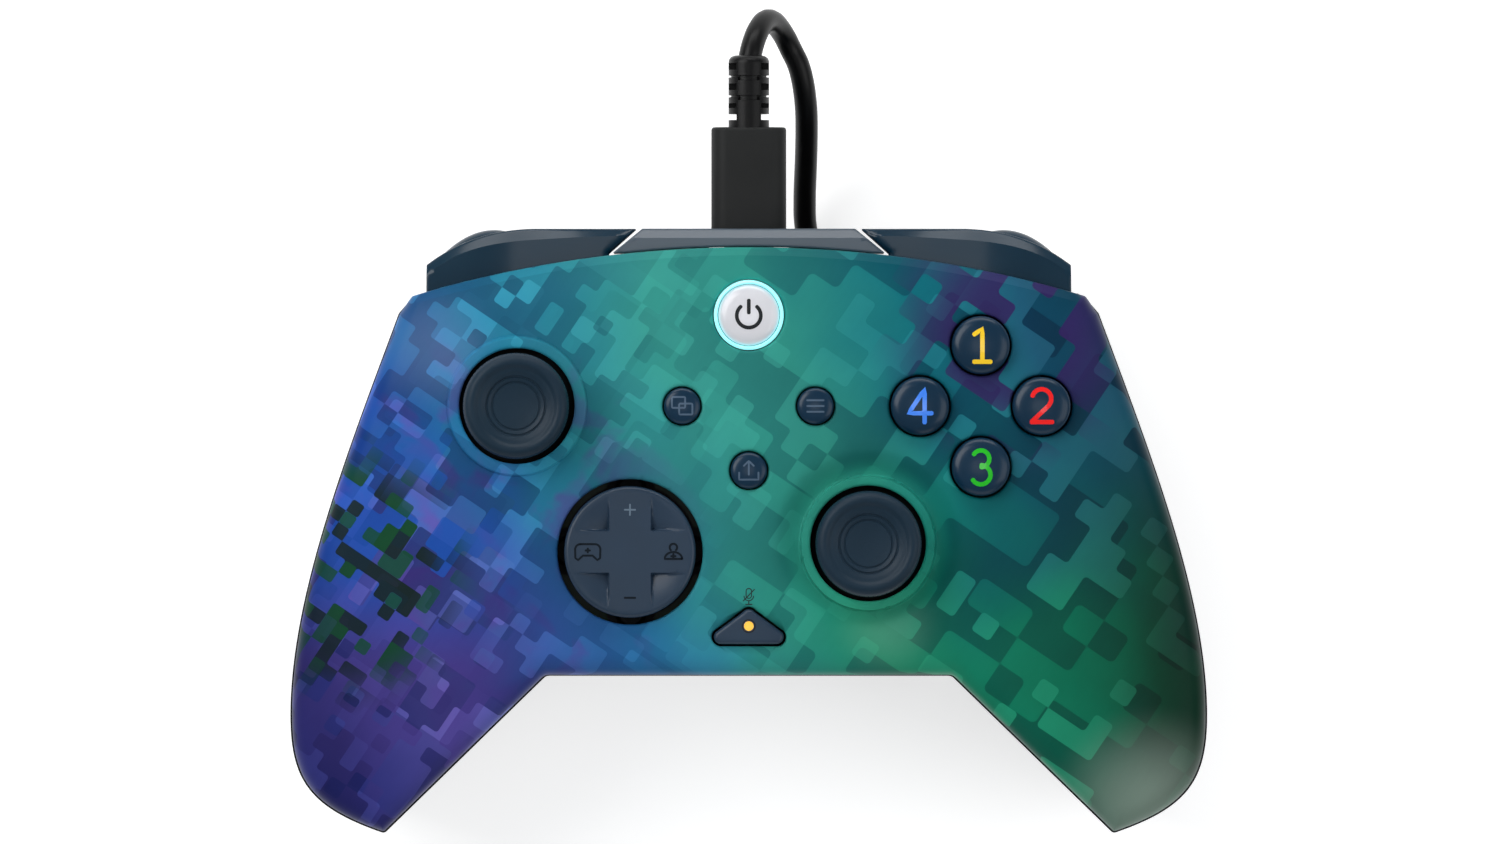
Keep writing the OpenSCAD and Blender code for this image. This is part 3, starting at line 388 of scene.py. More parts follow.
class Tree:
    """Short writing for a node tree."""

    def __init__(self, tree):
        self.tree = tree

    def add(self, kind, inputs=None, **props):
        n = self.tree.nodes.new(kind)
        for k, v in props.items():
            setattr(n, k, v)
        for k, v in (inputs or {}).items():
            if isinstance(v, bpy.types.NodeSocket):
                self.tree.links.new(v, n.inputs[k])
            else:
                n.inputs[k].default_value = v
        return n

    def math(self, op, a, b=0.0):
        return self.add("ShaderNodeMath", {0: a, 1: b}, operation=op).outputs[0]

    def vector(self, op, a, b=(0, 0, 0)):
        return self.add("ShaderNodeVectorMath", {0: a, 1: b}, operation=op).outputs[0]

    def distance(self, a, b):
        return self.add("ShaderNodeVectorMath", {0: a, 1: b}, operation="DISTANCE").outputs["Value"]

    def noise(self, at, scale, detail, distortion=0.0):
        inputs = {"Vector": at, "Scale": scale, "Detail": detail, "Distortion": distortion}
        return self.add("ShaderNodeTexNoise", inputs).outputs["Fac"]

    def ramp(self, fac, stops):
        """Colour that changes along (place, hex code) stops."""
        n = self.add("ShaderNodeValToRGB", {"Fac": fac})
        e = n.color_ramp.elements
        while len(e) < len(stops):
            e.new(0.5)
        for k, (at, code) in enumerate(stops):
            e[k].position = at
            e[k].color = rgb(code)
        return n.outputs["Color"]

    def mix(self, fac, a, b, blend="MIX"):
        n = self.add("ShaderNodeMix", {0: fac, 6: a, 7: b}, data_type="RGBA", blend_type=blend)
        return n.outputs[2]

    def range(self, value, lo, hi, to_lo=0.0, to_hi=1.0, kind="SMOOTHSTEP"):
        n = self.add("ShaderNodeMapRange", {0: value, 1: lo, 2: hi, 3: to_lo, 4: to_hi},
                     interpolation_type=kind)
        return n.outputs[0]


def rgb(code):
    """Linear colour of a hex code."""
    c = [int(code[i : i + 2], 16) / 255 for i in (1, 3, 5)]
    return tuple(x / 12.92 if x <= 0.04045 else ((x + 0.055) / 1.055) ** 2.4 for x in c) + (1.0,)


def group(name, inputs, outputs):
    """An empty shader node group with its sockets; returns its tree, input and output nodes."""
    g = bpy.data.node_groups.new(name, "ShaderNodeTree")
    for n, kind, value in inputs:
        s = g.interface.new_socket(n, in_out="INPUT", socket_type="NodeSocket" + kind)
        if value is not None:
            s.default_value = value
    for n, kind in outputs:
        g.interface.new_socket(n, in_out="OUTPUT", socket_type="NodeSocket" + kind)
    t = Tree(g)
    return g, t, t.add("NodeGroupInput"), t.add("NodeGroupOutput")


def moulded_group():
    """Moulded plastic: a little mottling, uneven gloss and a fine grain."""
    g, t, i, o = group(
        "moulded",
        [("Colour", "Color", (0.5, 0.5, 0.5, 1)), ("Rough", "Float", 0.4), ("Spread", "Float", 0.06),
         ("Grain", "Float", 2500.0), ("Depth", "Float", 0.1), ("Mottle", "Float", 0.12)],
        [("Colour", "Color"), ("Roughness", "Float"), ("Normal", "Vector")],
    )
    at = t.add("ShaderNodeTexCoord").outputs["Object"]
    cloud = t.math("SUBTRACT", t.noise(at, 90.0, 4.0), 0.5)
    fine = t.noise(at, i.outputs["Grain"], 2.0)
    swing = t.math("MULTIPLY", cloud, i.outputs["Mottle"])
    gain = t.math("ADD", t.math("MULTIPLY", swing, 4.0), 1.0)
    shade = t.add("ShaderNodeCombineXYZ", {0: gain, 1: gain, 2: gain}).outputs[0]
    colour = t.vector("MULTIPLY", i.outputs["Colour"], shade)
    uneven = t.math("MULTIPLY", cloud, i.outputs["Spread"])
    rough = t.math("ADD", t.math("MULTIPLY", uneven, 3.0), i.outputs["Rough"])
    bump = t.add("ShaderNodeBump", {"Strength": i.outputs["Depth"], "Distance": 0.0001, "Height": fine})
    t.tree.links.new(colour, o.inputs["Colour"])
    t.tree.links.new(rough, o.inputs["Roughness"])
    t.tree.links.new(bump.outputs[0], o.inputs["Normal"])
    return g


def blocks_group():
    """Mask of camouflage blocks: cells of a grid kept where clustered noise is high, with rounded corners."""
    g, t, i, o = group(
        "camo_blocks",
        [("Vector", "Vector", None), ("Cell", "Float", 3.0), ("Blob", "Float", 3.0), ("Seed", "Float", 0.0),
         ("Cover", "Float", 0.5)],
        [("Mask", "Float")],
    )
    cell = i.outputs["Cell"]
    size = t.add("ShaderNodeCombineXYZ", {0: cell, 1: cell, 2: 1.0}).outputs[0]
    p = t.vector("SUBTRACT", t.vector("DIVIDE", i.outputs["Vector"], size), (0.5, 0.5, 0.0))
    p = t.vector("MULTIPLY", p, (1, 1, 0))
    base = t.vector("FLOOR", p)
    part = t.add("ShaderNodeSeparateXYZ", {0: t.vector("SUBTRACT", p, base)})
    wx, wy = (t.range(part.outputs[k], 0.3, 0.7) for k in (0, 1))
    seed = t.add("ShaderNodeCombineXYZ", {2: i.outputs["Seed"]}).outputs[0]
    blob = i.outputs["Blob"]
    spread = t.add("ShaderNodeCombineXYZ", {0: blob, 1: blob, 2: 1.0}).outputs[0]

    def kept(dx, dy):
        c = t.vector("ADD", base, (dx, dy, 0))
        far = t.vector("ADD", t.vector("DIVIDE", c, spread), seed)
        n = t.noise(far, 1.0, 1.0)
        w = t.add("ShaderNodeTexWhiteNoise", {"Vector": t.vector("ADD", c, seed)}).outputs["Value"]
        v = t.math("ADD", n, t.math("MULTIPLY", t.math("SUBTRACT", w, 0.5), 0.22))
        return t.math("GREATER_THAN", v, i.outputs["Cover"])

    def between(w, a, b):
        return t.math("ADD", a, t.math("MULTIPLY", w, t.math("SUBTRACT", b, a)))

    low, high = between(wx, kept(0, 0), kept(1, 0)), between(wx, kept(0, 1), kept(1, 1))
    mask = t.range(between(wy, low, high), 0.44, 0.56)
    t.tree.links.new(mask, o.inputs["Mask"])
    return g


MOULDED, BLOCKS = moulded_group(), blocks_group()


def material(name):
    m = bpy.data.materials.new(name)
    m.use_nodes = True
    t = Tree(m.node_tree)
    return m, t, m.node_tree.nodes["Principled BSDF"]


def finish_with(t, bsdf, colour, rough, spread, grain, depth, mottle):
    """Puts the moulded finish on the shader, over a constant colour or a socket's."""
    values = {"Colour": colour, "Rough": rough, "Spread": spread}
    values |= {"Grain": grain, "Depth": depth, "Mottle": mottle}
    g = t.add("ShaderNodeGroup", values, node_tree=MOULDED)
    for source, socket in (("Colour", "Base Color"), ("Roughness", "Roughness"), ("Normal", "Normal")):
        t.tree.links.new(g.outputs[source], bsdf.inputs[socket])


def moulded(name, code, rough, spread=0.06, grain=2500.0, depth=0.1, mottle=0.1, metal=0.0, coat=0.0,
            coat_rough=0.05, shine=0.35):
    m, t, bsdf = material(name)
    finish_with(t, bsdf, rgb(code), rough, spread, grain, depth, mottle)
    bsdf.inputs["Metallic"].default_value = metal
    bsdf.inputs["Specular IOR Level"].default_value = shine
    bsdf.inputs["Coat Weight"].default_value = coat
    bsdf.inputs["Coat Roughness"].default_value = coat_rough
    return m


UPPER_PRINT = ((0.0, "#2a34a0"), (0.12, "#1f4ea8"), (0.3, "#1f7a98"), (0.48, "#36948a"), (0.62, "#2f8c80"),
               (0.75, "#0c6c78"), (0.88, "#0a4660"), (1.0, "#06384a"))
LOWER_PRINT = ((0.0, "#343a8c"), (0.12, "#504a92"), (0.23, "#3f60a8"), (0.36, "#2a6fa4"), (0.5, "#2f8d85"),
               (0.62, "#22906e"), (0.73, "#128062"), (0.82, "#046c50"), (0.92, "#034c34"), (1.0, "#083c2a"))
PRINT_TURN, PRINT_FOLD = math.radians(34), 1.4


def print_plane(t):
    """Millimetres on the face, carried on down the walls as if the print were folded over the edge."""
    coord = t.add("ShaderNodeTexCoord")
    raw = t.add("ShaderNodeSeparateXYZ", {0: t.vector("MULTIPLY", coord.outputs["Object"], (1 / MM,) * 3)})
    flat = t.add("ShaderNodeCombineXYZ", {0: raw.outputs[0], 1: raw.outputs[1]}).outputs[0]
    off = t.distance(flat, (0, FACE_Y, 0))
    face = t.math("SUBTRACT", FACE_Z, t.math("DIVIDE", t.math("MULTIPLY", off, off), 2 * FACE_R))
    below = t.math("SUBTRACT", face, raw.outputs[2])
    drop = t.math("MAXIMUM", t.math("SUBTRACT", below, PRINT_FOLD), 0.0)
    out = t.vector("NORMALIZE", t.vector("MULTIPLY", coord.outputs["Normal"], (1, 1, 0)))
    folded = t.add("ShaderNodeVectorMath", {0: out, "Scale": drop}, operation="SCALE").outputs[0]
    return t.vector("ADD", flat, folded)


def camouflage():
    """Printed cover: rounded blocks in slanting rows, blue at the left and green at the right, with painted
    highlights and painted shade laid over the print.
    """
    m, t, bsdf = material("printed_shell")
    mm = print_plane(t)
    rotate = t.add("ShaderNodeVectorRotate", {"Vector": mm, "Angle": PRINT_TURN}, rotation_type="Z_AXIS")
    turned = rotate.outputs[0]
    xy = t.add("ShaderNodeSeparateXYZ", {0: mm})
    x, y = xy.outputs[0], xy.outputs[1]
    drift = t.math("SUBTRACT", t.noise(mm, 0.035, 2.0), 0.5)
    slant = t.math("ADD", x, t.math("MULTIPLY", y, 0.3))
    across = t.math("ADD", slant, t.math("MULTIPLY", drift, 26.0))
    u = t.range(across, -78, 74, kind="LINEAR")

    def blocks(cell, blob, seed, cover, where):
        """Mask of one layer of blocks, kept to a part of the print."""
        values = {"Vector": turned, "Cell": cell, "Blob": blob, "Seed": seed, "Cover": cover}
        mask = t.add("ShaderNodeGroup", values, node_tree=BLOCKS).outputs["Mask"]
        return t.math("MULTIPLY", mask, where)

    def near(centre, inner, outer):
        """1 up to inner from a place on the face, fading to 0 at outer."""
        return t.range(t.distance(mm, (*centre, 0)), inner, outer, 1.0, 0.0)

    def over(mask, strength, tint):
        """The colour so far with a tint laid over it."""
        return t.mix(t.math("MULTIPLY", mask, strength), colour, tint)

    tall = t.math("ADD", y, t.math("MULTIPLY", drift, 40.0))
    colour = t.mix(t.range(tall, -24, 26), t.ramp(u, LOWER_PRINT), t.ramp(u, UPPER_PRINT))
    haze = t.range(t.noise(mm, 0.085, 3.0, 0.6), 0.5, 0.64)
    base = over(t.math("MULTIPLY", haze, near((-44, 0), 16, 42)), 0.55, rgb("#5a3c96"))
    dark = t.vector("MULTIPLY", base, (0.4, 0.44, 0.55))
    light = t.vector("ADD", t.vector("MULTIPLY", base, (1.5, 1.4, 1.35)), (0.008, 0.012, 0.014))
    left = t.range(x, 5, -45)
    right = t.range(x, -42, 30)
    edge = t.range(t.math("ABSOLUTE", x), 14, 44, 0.42, 1.0)
    colour = base
    colour = over(blocks(5.2, 2.6, 3.7, 0.5, right), 0.8, dark)
    colour = over(blocks(3.6, 2.8, 11.2, 0.56, edge), 1.0, light)
    colour = over(blocks(2.7, 3.0, 23.9, 0.5, left), 0.9, dark)
    colour = over(blocks(4.0, 2.4, 47.1, 0.5, near((44, 33), 8, 26)), 0.9, rgb("#33205c"))
    left_grip = t.math("MULTIPLY", near((-50, -16), 16, 42), t.range(x, -34, -50))
    violet_to_blue = t.mix(t.range(y, -24, -4), rgb("#4b3c8a"), rgb("#1553b2"))
    colour = over(blocks(2.9, 2.4, 53.6, 0.5, left_grip), 0.75, violet_to_blue)
    colour = over(blocks(2.3, 1.7, 61.3, 0.54, near((-68, -7), 13, 25)), 0.95, rgb("#10241c"))
    colour = over(blocks(2.3, 1.5, 71.8, 0.58, near((-67, -6), 12, 25)), 0.9, rgb("#0f4a2a"))
    # Painted shade: darker towards the outer right edge of the lower right grip.
    colour = over(t.math("MULTIPLY", t.range(x, 56, 75), t.range(y, 18, -2)), 0.6, rgb("#04150f"))
    # Painted shade: darker towards the outer left edge.
    colour = over(t.range(across, -60, -86), 0.48, rgb("#120f36"))
    # Painted highlight: a pale patch at the tip of the right grip.
    colour = over(near((67, -47), 1, 19), 0.56, rgb("#9fafa2"))
    # Painted sheen: a soft pale lilac patch on the upper left shoulder.
    colour = over(near((-52, 30), 1, 12), 0.2, rgb("#8fa3d2"))
    # Painted highlight: a soft pale patch below the right stick.
    colour = over(near((23, -15.5), 1, 10), 0.2, rgb("#8cc0a8"))
    colour = over(near(RIGHT_STICK, 11.6, 14.5), 0.7, base)
    # Painted highlight: the rings round both stick collars are made lighter.
    collar_highlight = t.math("MAXIMUM", near(RIGHT_STICK, 11.1, 11.4), near(LEFT_STICK, 11.45, 11.75))
    colour = over(collar_highlight, 0.35, light)
    strokes = t.noise(t.vector("MULTIPLY", turned, (0.5, 0.12, 0)), 2.2, 5.0)
    brushed = t.mix(strokes, rgb("#18304a"), rgb("#7fb0a8"))
    colour = t.mix(0.14, colour, brushed, "SOFT_LIGHT")
    finish_with(t, bsdf, colour, 0.42, 0.05, 3200.0, 0.06, 0.05)
    bsdf.inputs["Specular IOR Level"].default_value = 0.09
    return m


def glowing(name, code, strength):
    """Lit lens: glows in its own colour, paler in places by a faint unevenness."""
    m, t, bsdf = material(name)
    at = t.add("ShaderNodeTexCoord").outputs["Object"]
    n = t.noise(at, 700.0, 3.0)
    pale = tuple(min(1.0, c * 1.25 + 0.08) for c in rgb(code)[:3]) + (1.0,)
    tone = t.mix(n, rgb(code), pale)
    t.tree.links.new(tone, bsdf.inputs["Base Color"])
    t.tree.links.new(tone, bsdf.inputs["Emission Color"])
    bsdf.inputs["Emission Strength"].default_value = strength
    t.tree.links.new(t.range(n, 0, 1, 0.2, 0.32, "LINEAR"), bsdf.inputs["Roughness"])
    return m


PRINT = camouflage()
NAVY = moulded("navy_satin", "#223447", 0.36, grain=3000.0, depth=0.08)
GLOSS = moulded("navy_gloss", "#0a2a40", 0.26, spread=0.03, depth=0.02, coat=0.08, coat_rough=0.1, shine=0.25)
SHOULDER = moulded("shoulder_gloss", "#082a3c", 0.24, spread=0.04, depth=0.03, coat=0.1, coat_rough=0.1,
                   shine=0.28)
TRIM = moulded("trim_satin", "#414d59", 0.3, spread=0.04, depth=0.04, coat=0.3, coat_rough=0.12)
RUBBER = moulded("stick_rubber", "#0c2535", 0.46, spread=0.08, grain=4200.0, depth=0.25, shine=0.25)
REAR = moulded("rear_plastic", "#0a0e13", 0.55, grain=1800.0, depth=0.35, shine=0.2)
PALE = moulded("guide_gloss", "#d9d9de", 0.2, spread=0.03, depth=0.02, mottle=0.03, coat=0.5)
FAINT = moulded("faint_mark", "#5d6f80", 0.35, depth=0.05)
DIM = moulded("dim_mark", "#485d72", 0.35, depth=0.05)
INK = moulded("mark_ink", "#14181c", 0.4, depth=0.05)
ICON = moulded("icon_ink", "#06121c", 0.45, depth=0.05, shine=0.15)
BLACK_RUBBER = moulded("cord_rubber", "#050506", 0.36, grain=5000.0, depth=0.12, shine=0.22)
BLACK = moulded("plug_plastic", "#222323", 0.5, grain=2600.0, depth=0.2, shine=0.15)
PAD = moulded("pad_rubber", "#3a3d42", 0.6)
STEEL = moulded("steel", "#b9bcc0", 0.3, metal=1.0)
BOARD = moulded("board_green", "#174a2c", 0.35, grain=900.0)
GLYPHS = {
    side: moulded("glyph_" + name, code, 0.22, mottle=0.03, coat=0.5)
    for side, name, code in (("top", "yellow", "#f8cc22"), ("right", "red", "#f01414"),
                             ("bottom", "green", "#1cb81c"), ("left", "blue", "#3f86f5"))
}
RING = glowing("light_ring", "#8ceef6", 0.5)
AMBER = glowing("amber_light", "#f2ae28", 0.3)


# Camera, light and floor


def camera():
    """Straight down from far away, with a quarter of a metre across the picture at the widest level."""
    high, wide, sensor = 3.0, 0.25, 36.0
    middle, widest_level = (0.0002, 0.01825), 0.035
    cam = bpy.data.cameras.new("camera")
    cam.sensor_width = sensor
    cam.lens = sensor * high / wide
    cam.clip_end = 20.0
    ob = bpy.data.objects.new("camera", cam)
    ob.location = (*middle, widest_level + high)
    bpy.context.scene.collection.objects.link(ob)
    bpy.context.scene.camera = ob
    bpy.context.scene.view_settings.view_transform = "Standard"


def softbox(name, at, aim, size, watts):
    light = bpy.data.lights.new(name, "AREA")
    light.shape = "RECTANGLE"
    light.size, light.size_y = size
    light.energy = watts
    ob = bpy.data.objects.new(name, light)
    ob.location = at
    ob.rotation_euler = (Vector(aim) - Vector(at)).to_track_quat("-Z", "Y").to_euler()
    bpy.context.scene.collection.objects.link(ob)


def seen_directly(t):
    """1 for rays from the camera, mirrors and glass."""
    path = t.add("ShaderNodeLightPath")
    both = t.math("MAXIMUM", path.outputs["Is Camera Ray"], path.outputs["Is Glossy Ray"])
    return t.math("MAXIMUM", both, path.outputs["Is Transmission Ray"])


def studio():
    """Five softboxes and an even grey sky."""
    softbox("key", (-0.75, 0.45, 1.0), (0, 0, 0.04), (0.9, 0.7), 8.4)
    softbox("fill", (0.85, -0.15, 0.9), (0, 0, 0.04), (0.8, 0.8), 3.2)
    softbox("back", (0.0, 1.05, 0.55), (0, 0.03, 0.04), (1.4, 0.35), 6.6)
    softbox("low", (0.0, -1.0, 0.6), (0, 0, 0.03), (1.2, 0.5), 1.6)
    softbox("top", (0.0, 0.02, 3.7), (0, 0.02, 0.04), (0.7, 0.6), 3.0)
    world = bpy.data.worlds.new("studio")
    bpy.context.scene.world = world
    world.use_nodes = True
    world.node_tree.nodes["Background"].inputs["Color"].default_value = (0.28, 0.29, 0.3, 1)


def floor():
    """Pale ground at the lowest level of the model, lifted to white where it is seen directly."""
    m, t, bsdf = material("floor")
    at = t.add("ShaderNodeTexCoord").outputs["Object"]
    tone = t.mix(t.noise(at, 40.0, 3.0), (0.7, 0.7, 0.7, 1), (0.74, 0.74, 0.74, 1))
    t.tree.links.new(tone, bsdf.inputs["Base Color"])
    bsdf.inputs["Roughness"].default_value = 0.9
    bsdf.inputs["Emission Color"].default_value = (1, 1, 1, 1)
    lift = t.math("MULTIPLY", seen_directly(t), 0.6)
    t.tree.links.new(lift, bsdf.inputs["Emission Strength"])
    z, reach = float(cad_box[0][2]) / MM, 3000.0
    corners = [(-reach, -reach, z), (reach, -reach, z), (reach, reach, z), (-reach, reach, z)]
    ground = mesh_piece("floor", corners, [(0, 1, 2, 3)])
    ground.data.materials.append(m)


# Cord: from the strain relief over an arch, down behind the plug and into a coil under the body

CORD_D = 3.8
LEAD = [
    (0, 78.1, 32.2), (0.5, 80.6, 31.8), (1.2, 82.8, 30.6), (2, 84.4, 28.7), (2.9, 85.3, 26.4),
    (3.9, 85.3, 24), (4.9, 84.4, 21.7), (6, 82.8, 19.8), (7.1, 80.6, 18.6), (8.3, 78.1, 18.2),
    (9.1, 75, 17.4), (9.6, 71, 15.5), (9.7, 67, 13.1), (9.6, 62, 9.7), (9.4, 56, 5.8), (9.6, 51, 3.4),
    (11, 46, 2.4), (13.8, 41, 2.1), (17.4, 36, 2.2), (20.8, 31, 2.5), (23.4, 26, 2.8), (24.7, 21, 3.1),
    (25, 16.8, 3.3), (25, 12.8, 3.3),
]
TAIL = [
    (-1.2, 39, 16.2), (3, 39, 16.2), (10, 38.8, 15.6), (16, 38, 14.4), (21.5, 36.2, 12.6), (26, 33.4, 10.4),
    (29.4, 29.6, 8.2), (31.6, 25.2, 6.2), (32.8, 20.6, 4.9), (33.5, 17, 4.3), (33.5, 13, 4.3),
]
COIL_AT, COIL_R, COIL_PITCH, COIL_Z = (-5.0, 9.0), 30.0, 4.3, 3.3
COIL_TURNS, COIL_LAYERS, COIL_STEPS = 15.75, 4, 36


def eased(points, n=5):
    """A smooth run through the points, with n steps for each stretch."""
    p = np.array(points, float)
    q = np.vstack([2 * p[0] - p[1], p, 2 * p[-1] - p[-2]])
    out = []
    for i in range(1, len(q) - 2):
        for t in np.linspace(0, 1, n, endpoint=False):
            a, b, c, d = q[i - 1], q[i], q[i + 1], q[i + 2]
            square, cube = 2 * a - 5 * b + 4 * c - d, 3 * b - a - 3 * c + d
            out.append(0.5 * (2 * b + (c - a) * t + square * t**2 + cube * t**3))
    out.append(p[-1])
    return np.array(out)


def coil():
    """Flat spirals that run in and out by turns, one layer above the other."""
    per = COIL_TURNS / COIL_LAYERS
    t = np.arange(0, COIL_TURNS + 1e-9, 1 / COIL_STEPS)
    in_by = np.abs((t + per) % (2 * per) - per)
    r = COIL_R - COIL_PITCH * in_by
    climb = sum(np.clip(2 * (t - k * per) + 0.5, 0, 1) for k in range(1, COIL_LAYERS))
    a = -2 * np.pi * t
    x, y = COIL_AT[0] + r * np.cos(a), COIL_AT[1] + r * np.sin(a)
    return np.column_stack([x, y, COIL_Z + COIL_PITCH * climb])


def cord():
    """The cord as one curve, and the points it runs through in metres."""
    line = np.vstack([eased(LEAD), coil(), eased(TAIL)]) * MM
    keep = np.append(True, np.linalg.norm(np.diff(line, axis=0), axis=1) > 1e-5)
    line = line[keep]
    curve = bpy.data.curves.new("cord", "CURVE")
    curve.dimensions = "3D"
    curve.bevel_depth = 1.0
    curve.bevel_resolution = 5
    curve.use_fill_caps = True
    s = curve.splines.new("POLY")
    s.points.add(len(line) - 1)
    for p, q in zip(s.points, line):
        p.co = (*q, 1.0)
        p.radius = CORD_D / 2 * MM
    s.use_smooth = True
    ob = bpy.data.objects.new("cord", curve)
    bpy.context.scene.collection.objects.link(ob)
    place(ob, "housing", ["cord_lead", "cord_coil", "cord_tail"], BLACK_RUBBER)
    return ob, line


# Shells


def body_outline():
    """Plan of the two shells, clockwise from the middle of the top edge."""
    shoulder, start, widest = TOP_CURVE[-1], (58.4, 36.4), (76.5, -30.7)
    tip, crotch = (60.8, -50.4), (33.8, -24.1)
    top = bezier(*TOP_CURVE, 40)
    side = bezier(start, (67.1, 13.0), (76.5, -11.0), widest, 60)
    grip = bezier(widest, (76.5, -41.7), (73.2, -46.2), tip, 24)
    half = [(*p, 0) for p in top] + [(*shoulder, 0.8), (*start, 1.0)] + [(*p, 0) for p in side[1:]]
    half += [(*p, 0) for p in grip] + [(*tip, 0.8), (*crotch, 1.4)]
    other = [(-x, y, r) for x, y, r in reversed(half[1:])]
    return resampled(filleted(half + other), 1.0)


OUTLINE = body_outline()


def mic_loop(grow=0.0, n=8):
    """Rounded triangle of the microphone button."""
    r = 1.35 + grow
    out = []
    for cx, cy, start, sweep in ((4.6, -1.7, -90, 128), (0, 1.7, 38, 104), (-4.6, -1.7, 142, 128)):
        for k in range(n + 1):
            t = math.radians(start + sweep * k / n)
            out.append((MIC[0] + cx + r * math.cos(t), MIC[1] + cy + r * math.sin(t)))
    return np.array(out)


def face_button_at(k):
    """Centre of the face button k quarter turns round from the right one."""
    a = k * math.pi / 2
    return FACE_BUTTONS[0] + FACE_BUTTONS_R * math.cos(a), FACE_BUTTONS[1] + FACE_BUTTONS_R * math.sin(a)


def face_holes():
    """Each hole of the face as a function from an offset to its loop."""
    round_holes = [(LEFT_STICK, STICK_HOLE_R), (RIGHT_STICK, STICK_HOLE_R), (DPAD, DPAD_HOLE_R)]
    round_holes += [(GUIDE, RING_R + 0.15)]
    round_holes += [(face_button_at(k), FACE_CAP_R + 0.3) for k in range(4)]
    round_holes += [(c, SMALL_CAP_R + 0.22) for c in (VIEW, MENU, SHARE)]
    holes = [lambda d, c=c, r=r: ring(c, r + d, 96 if r > 5 else 64) for c, r in round_holes]
    return holes + [lambda d: mic_loop(0.22 + d)]


def swell(x, y):
    """Collars round the sticks, a slight rise round the left one and a dish round the right one."""
    left = np.hypot(x - LEFT_STICK[0], y - LEFT_STICK[1])
    right = np.hypot(x - RIGHT_STICK[0], y - RIGHT_STICK[1])
    collar = 0.8 * smooth(left, 11.75, 11.4) + 1.6 * smooth(right, 11.4, 11.05)
    return collar + 0.2 * smooth(left, 15.0, 11.0) - 1.5 * smooth(right, 16.2, 11.6)


def bumper_zone(x, y):
    """1 where the shells' top edge makes room for a bumper."""
    return (np.abs(x) > 21.5) & (np.abs(x) < 54.4) & (y > SHOULDER_Y)


TOP_EDGE = bezier(*TOP_CURVE, 80)
TOP_EDGE = np.vstack([TOP_EDGE[:0:-1] * (-1, 1), TOP_EDGE])


def edge_drop(x, y, d, top_d):
    """How far the face has dropped near its edge: a bevel along the top, a tight roll all round the rest."""
    slope = 0.3 * (1 - smooth(top_d, TOP_BEVEL, 6.0))
    bevel = slope + 0.95 * np.clip(1 - top_d / TOP_BEVEL, 0, 1) + np.clip(1 - top_d / 0.12, 0, 1)
    on_top = smooth(np.abs(x), 57.0, 54.0) * (y > 30)
    return on_top * bevel + (1 - on_top) * rolled(d, EDGE_R, 3.2)


def front_shell():
    """Face cover: the printed top with its holes, and a wall down to the parting line."""
    hole_lip, edge_in = 0.45, 0.32
    holes = face_holes()
    low = smooth(OUTLINE[:, 1], 39.0, 36.5)
    outline = OUTLINE + inward(OUTLINE) * (edge_in * low)[:, None]
    rings = [h(0.0) for h in holes]
    free = [p for d in (0.04, 0.14, 0.3, 0.6, 1.0, 1.6, 2.5, 3.6, 5.0, 6.4) for p in inset(outline, d)]
    free += list(beside(TOP_EDGE, 0.12))
    fold = beside(TOP_EDGE, TOP_BEVEL)
    fold = fold[np.abs(fold[:, 0]) < 54.6]
    free += [p for h in holes for d in (0.06, 0.18, 0.45, 1.0) for p in h(d)]
    collar = (10.9, 11.05, 11.2, 11.35, 11.5, 11.62, 11.75, 12.2, 13.0, 14.0, 15.0, 15.8)
    free += [p for c in (LEFT_STICK, RIGHT_STICK) for r in collar for p in ring(c, r)]
    free += list(grid(outline, 1.9, 7.2))
    free = np.array(free)
    free = free[inside(free, outline) & (away(free, outline) > 0.03)]
    for h in holes:
        ok = away(free, h(0.0)) > 0.05
        free = free[ok & ~inside(free, h(0.0))]
    v, f = triangles([outline] + rings, free, rings, [fold])
    x, y = v[:, 0], v[:, 1]
    side = away(v, outline)
    z = face_at(x, y) + swell(x, y) - edge_drop(x, y, side, away(v, TOP_EDGE, False))
    for r in rings:
        z -= rolled(away(v, r), hole_lip)
    verts = list(np.column_stack([v, z]))
    faces = [tuple(t) for t in f]
    down = {}

    def foot(q):
        if q not in down:
            px, py = v[q]
            foot_z = face_at(px, py) - 2.1
            if side[q] < 0.02:
                foot_z = 41.2 if bumper_zone(px, py) else PARTING_Z + 0.12
            down[q] = len(verts)
            verts.append((px, py, min(foot_z, z[q] - 0.2)))
        return down[q]

    for a, b in rim_edges(f):
        faces.append((b, a, foot(a), foot(b)))
    ob = mesh_piece("front_cover", verts, faces, 50, on_lines(v, [fold]))
    hollow(ob)
    place(ob, "housing", ["front_shell"], PRINT)


def rear_outline():
    """The plan with a notch for each trigger."""
    inner, outer, deep = 32.1, 53.9, 32.6
    edge_y = {inner: 44.9, outer: 39.9}
    out = []
    for (x, y), (nx, ny) in zip(OUTLINE, np.roll(OUTLINE, -1, axis=0)):
        if y > SHOULDER_Y and inner <= abs(x) <= outer:
            continue
        out.append((x, y, 0))
        if y > SHOULDER_Y and ny > SHOULDER_Y and inner <= abs(nx) <= outer:
            near, far = (inner, outer) if abs(x) < inner else (outer, inner)
            a, b = math.copysign(near, nx), math.copysign(far, nx)
            out += [(a, y, 0.8), (a, deep, 1.5), (b, deep, 1.5), (b, edge_y[far], 0.8)]
    return resampled(filleted(out), 1.2)


def lobe_at(x, y):
    """1 along the lobe at the outer side of a trigger, 0 well away from it."""
    line = np.array([(56.0, 41.0), (54.0, 30.0), (51.0, 24.0)])
    return smooth(away(np.column_stack([np.abs(x), y]), line, False), 9.0, 4.0)


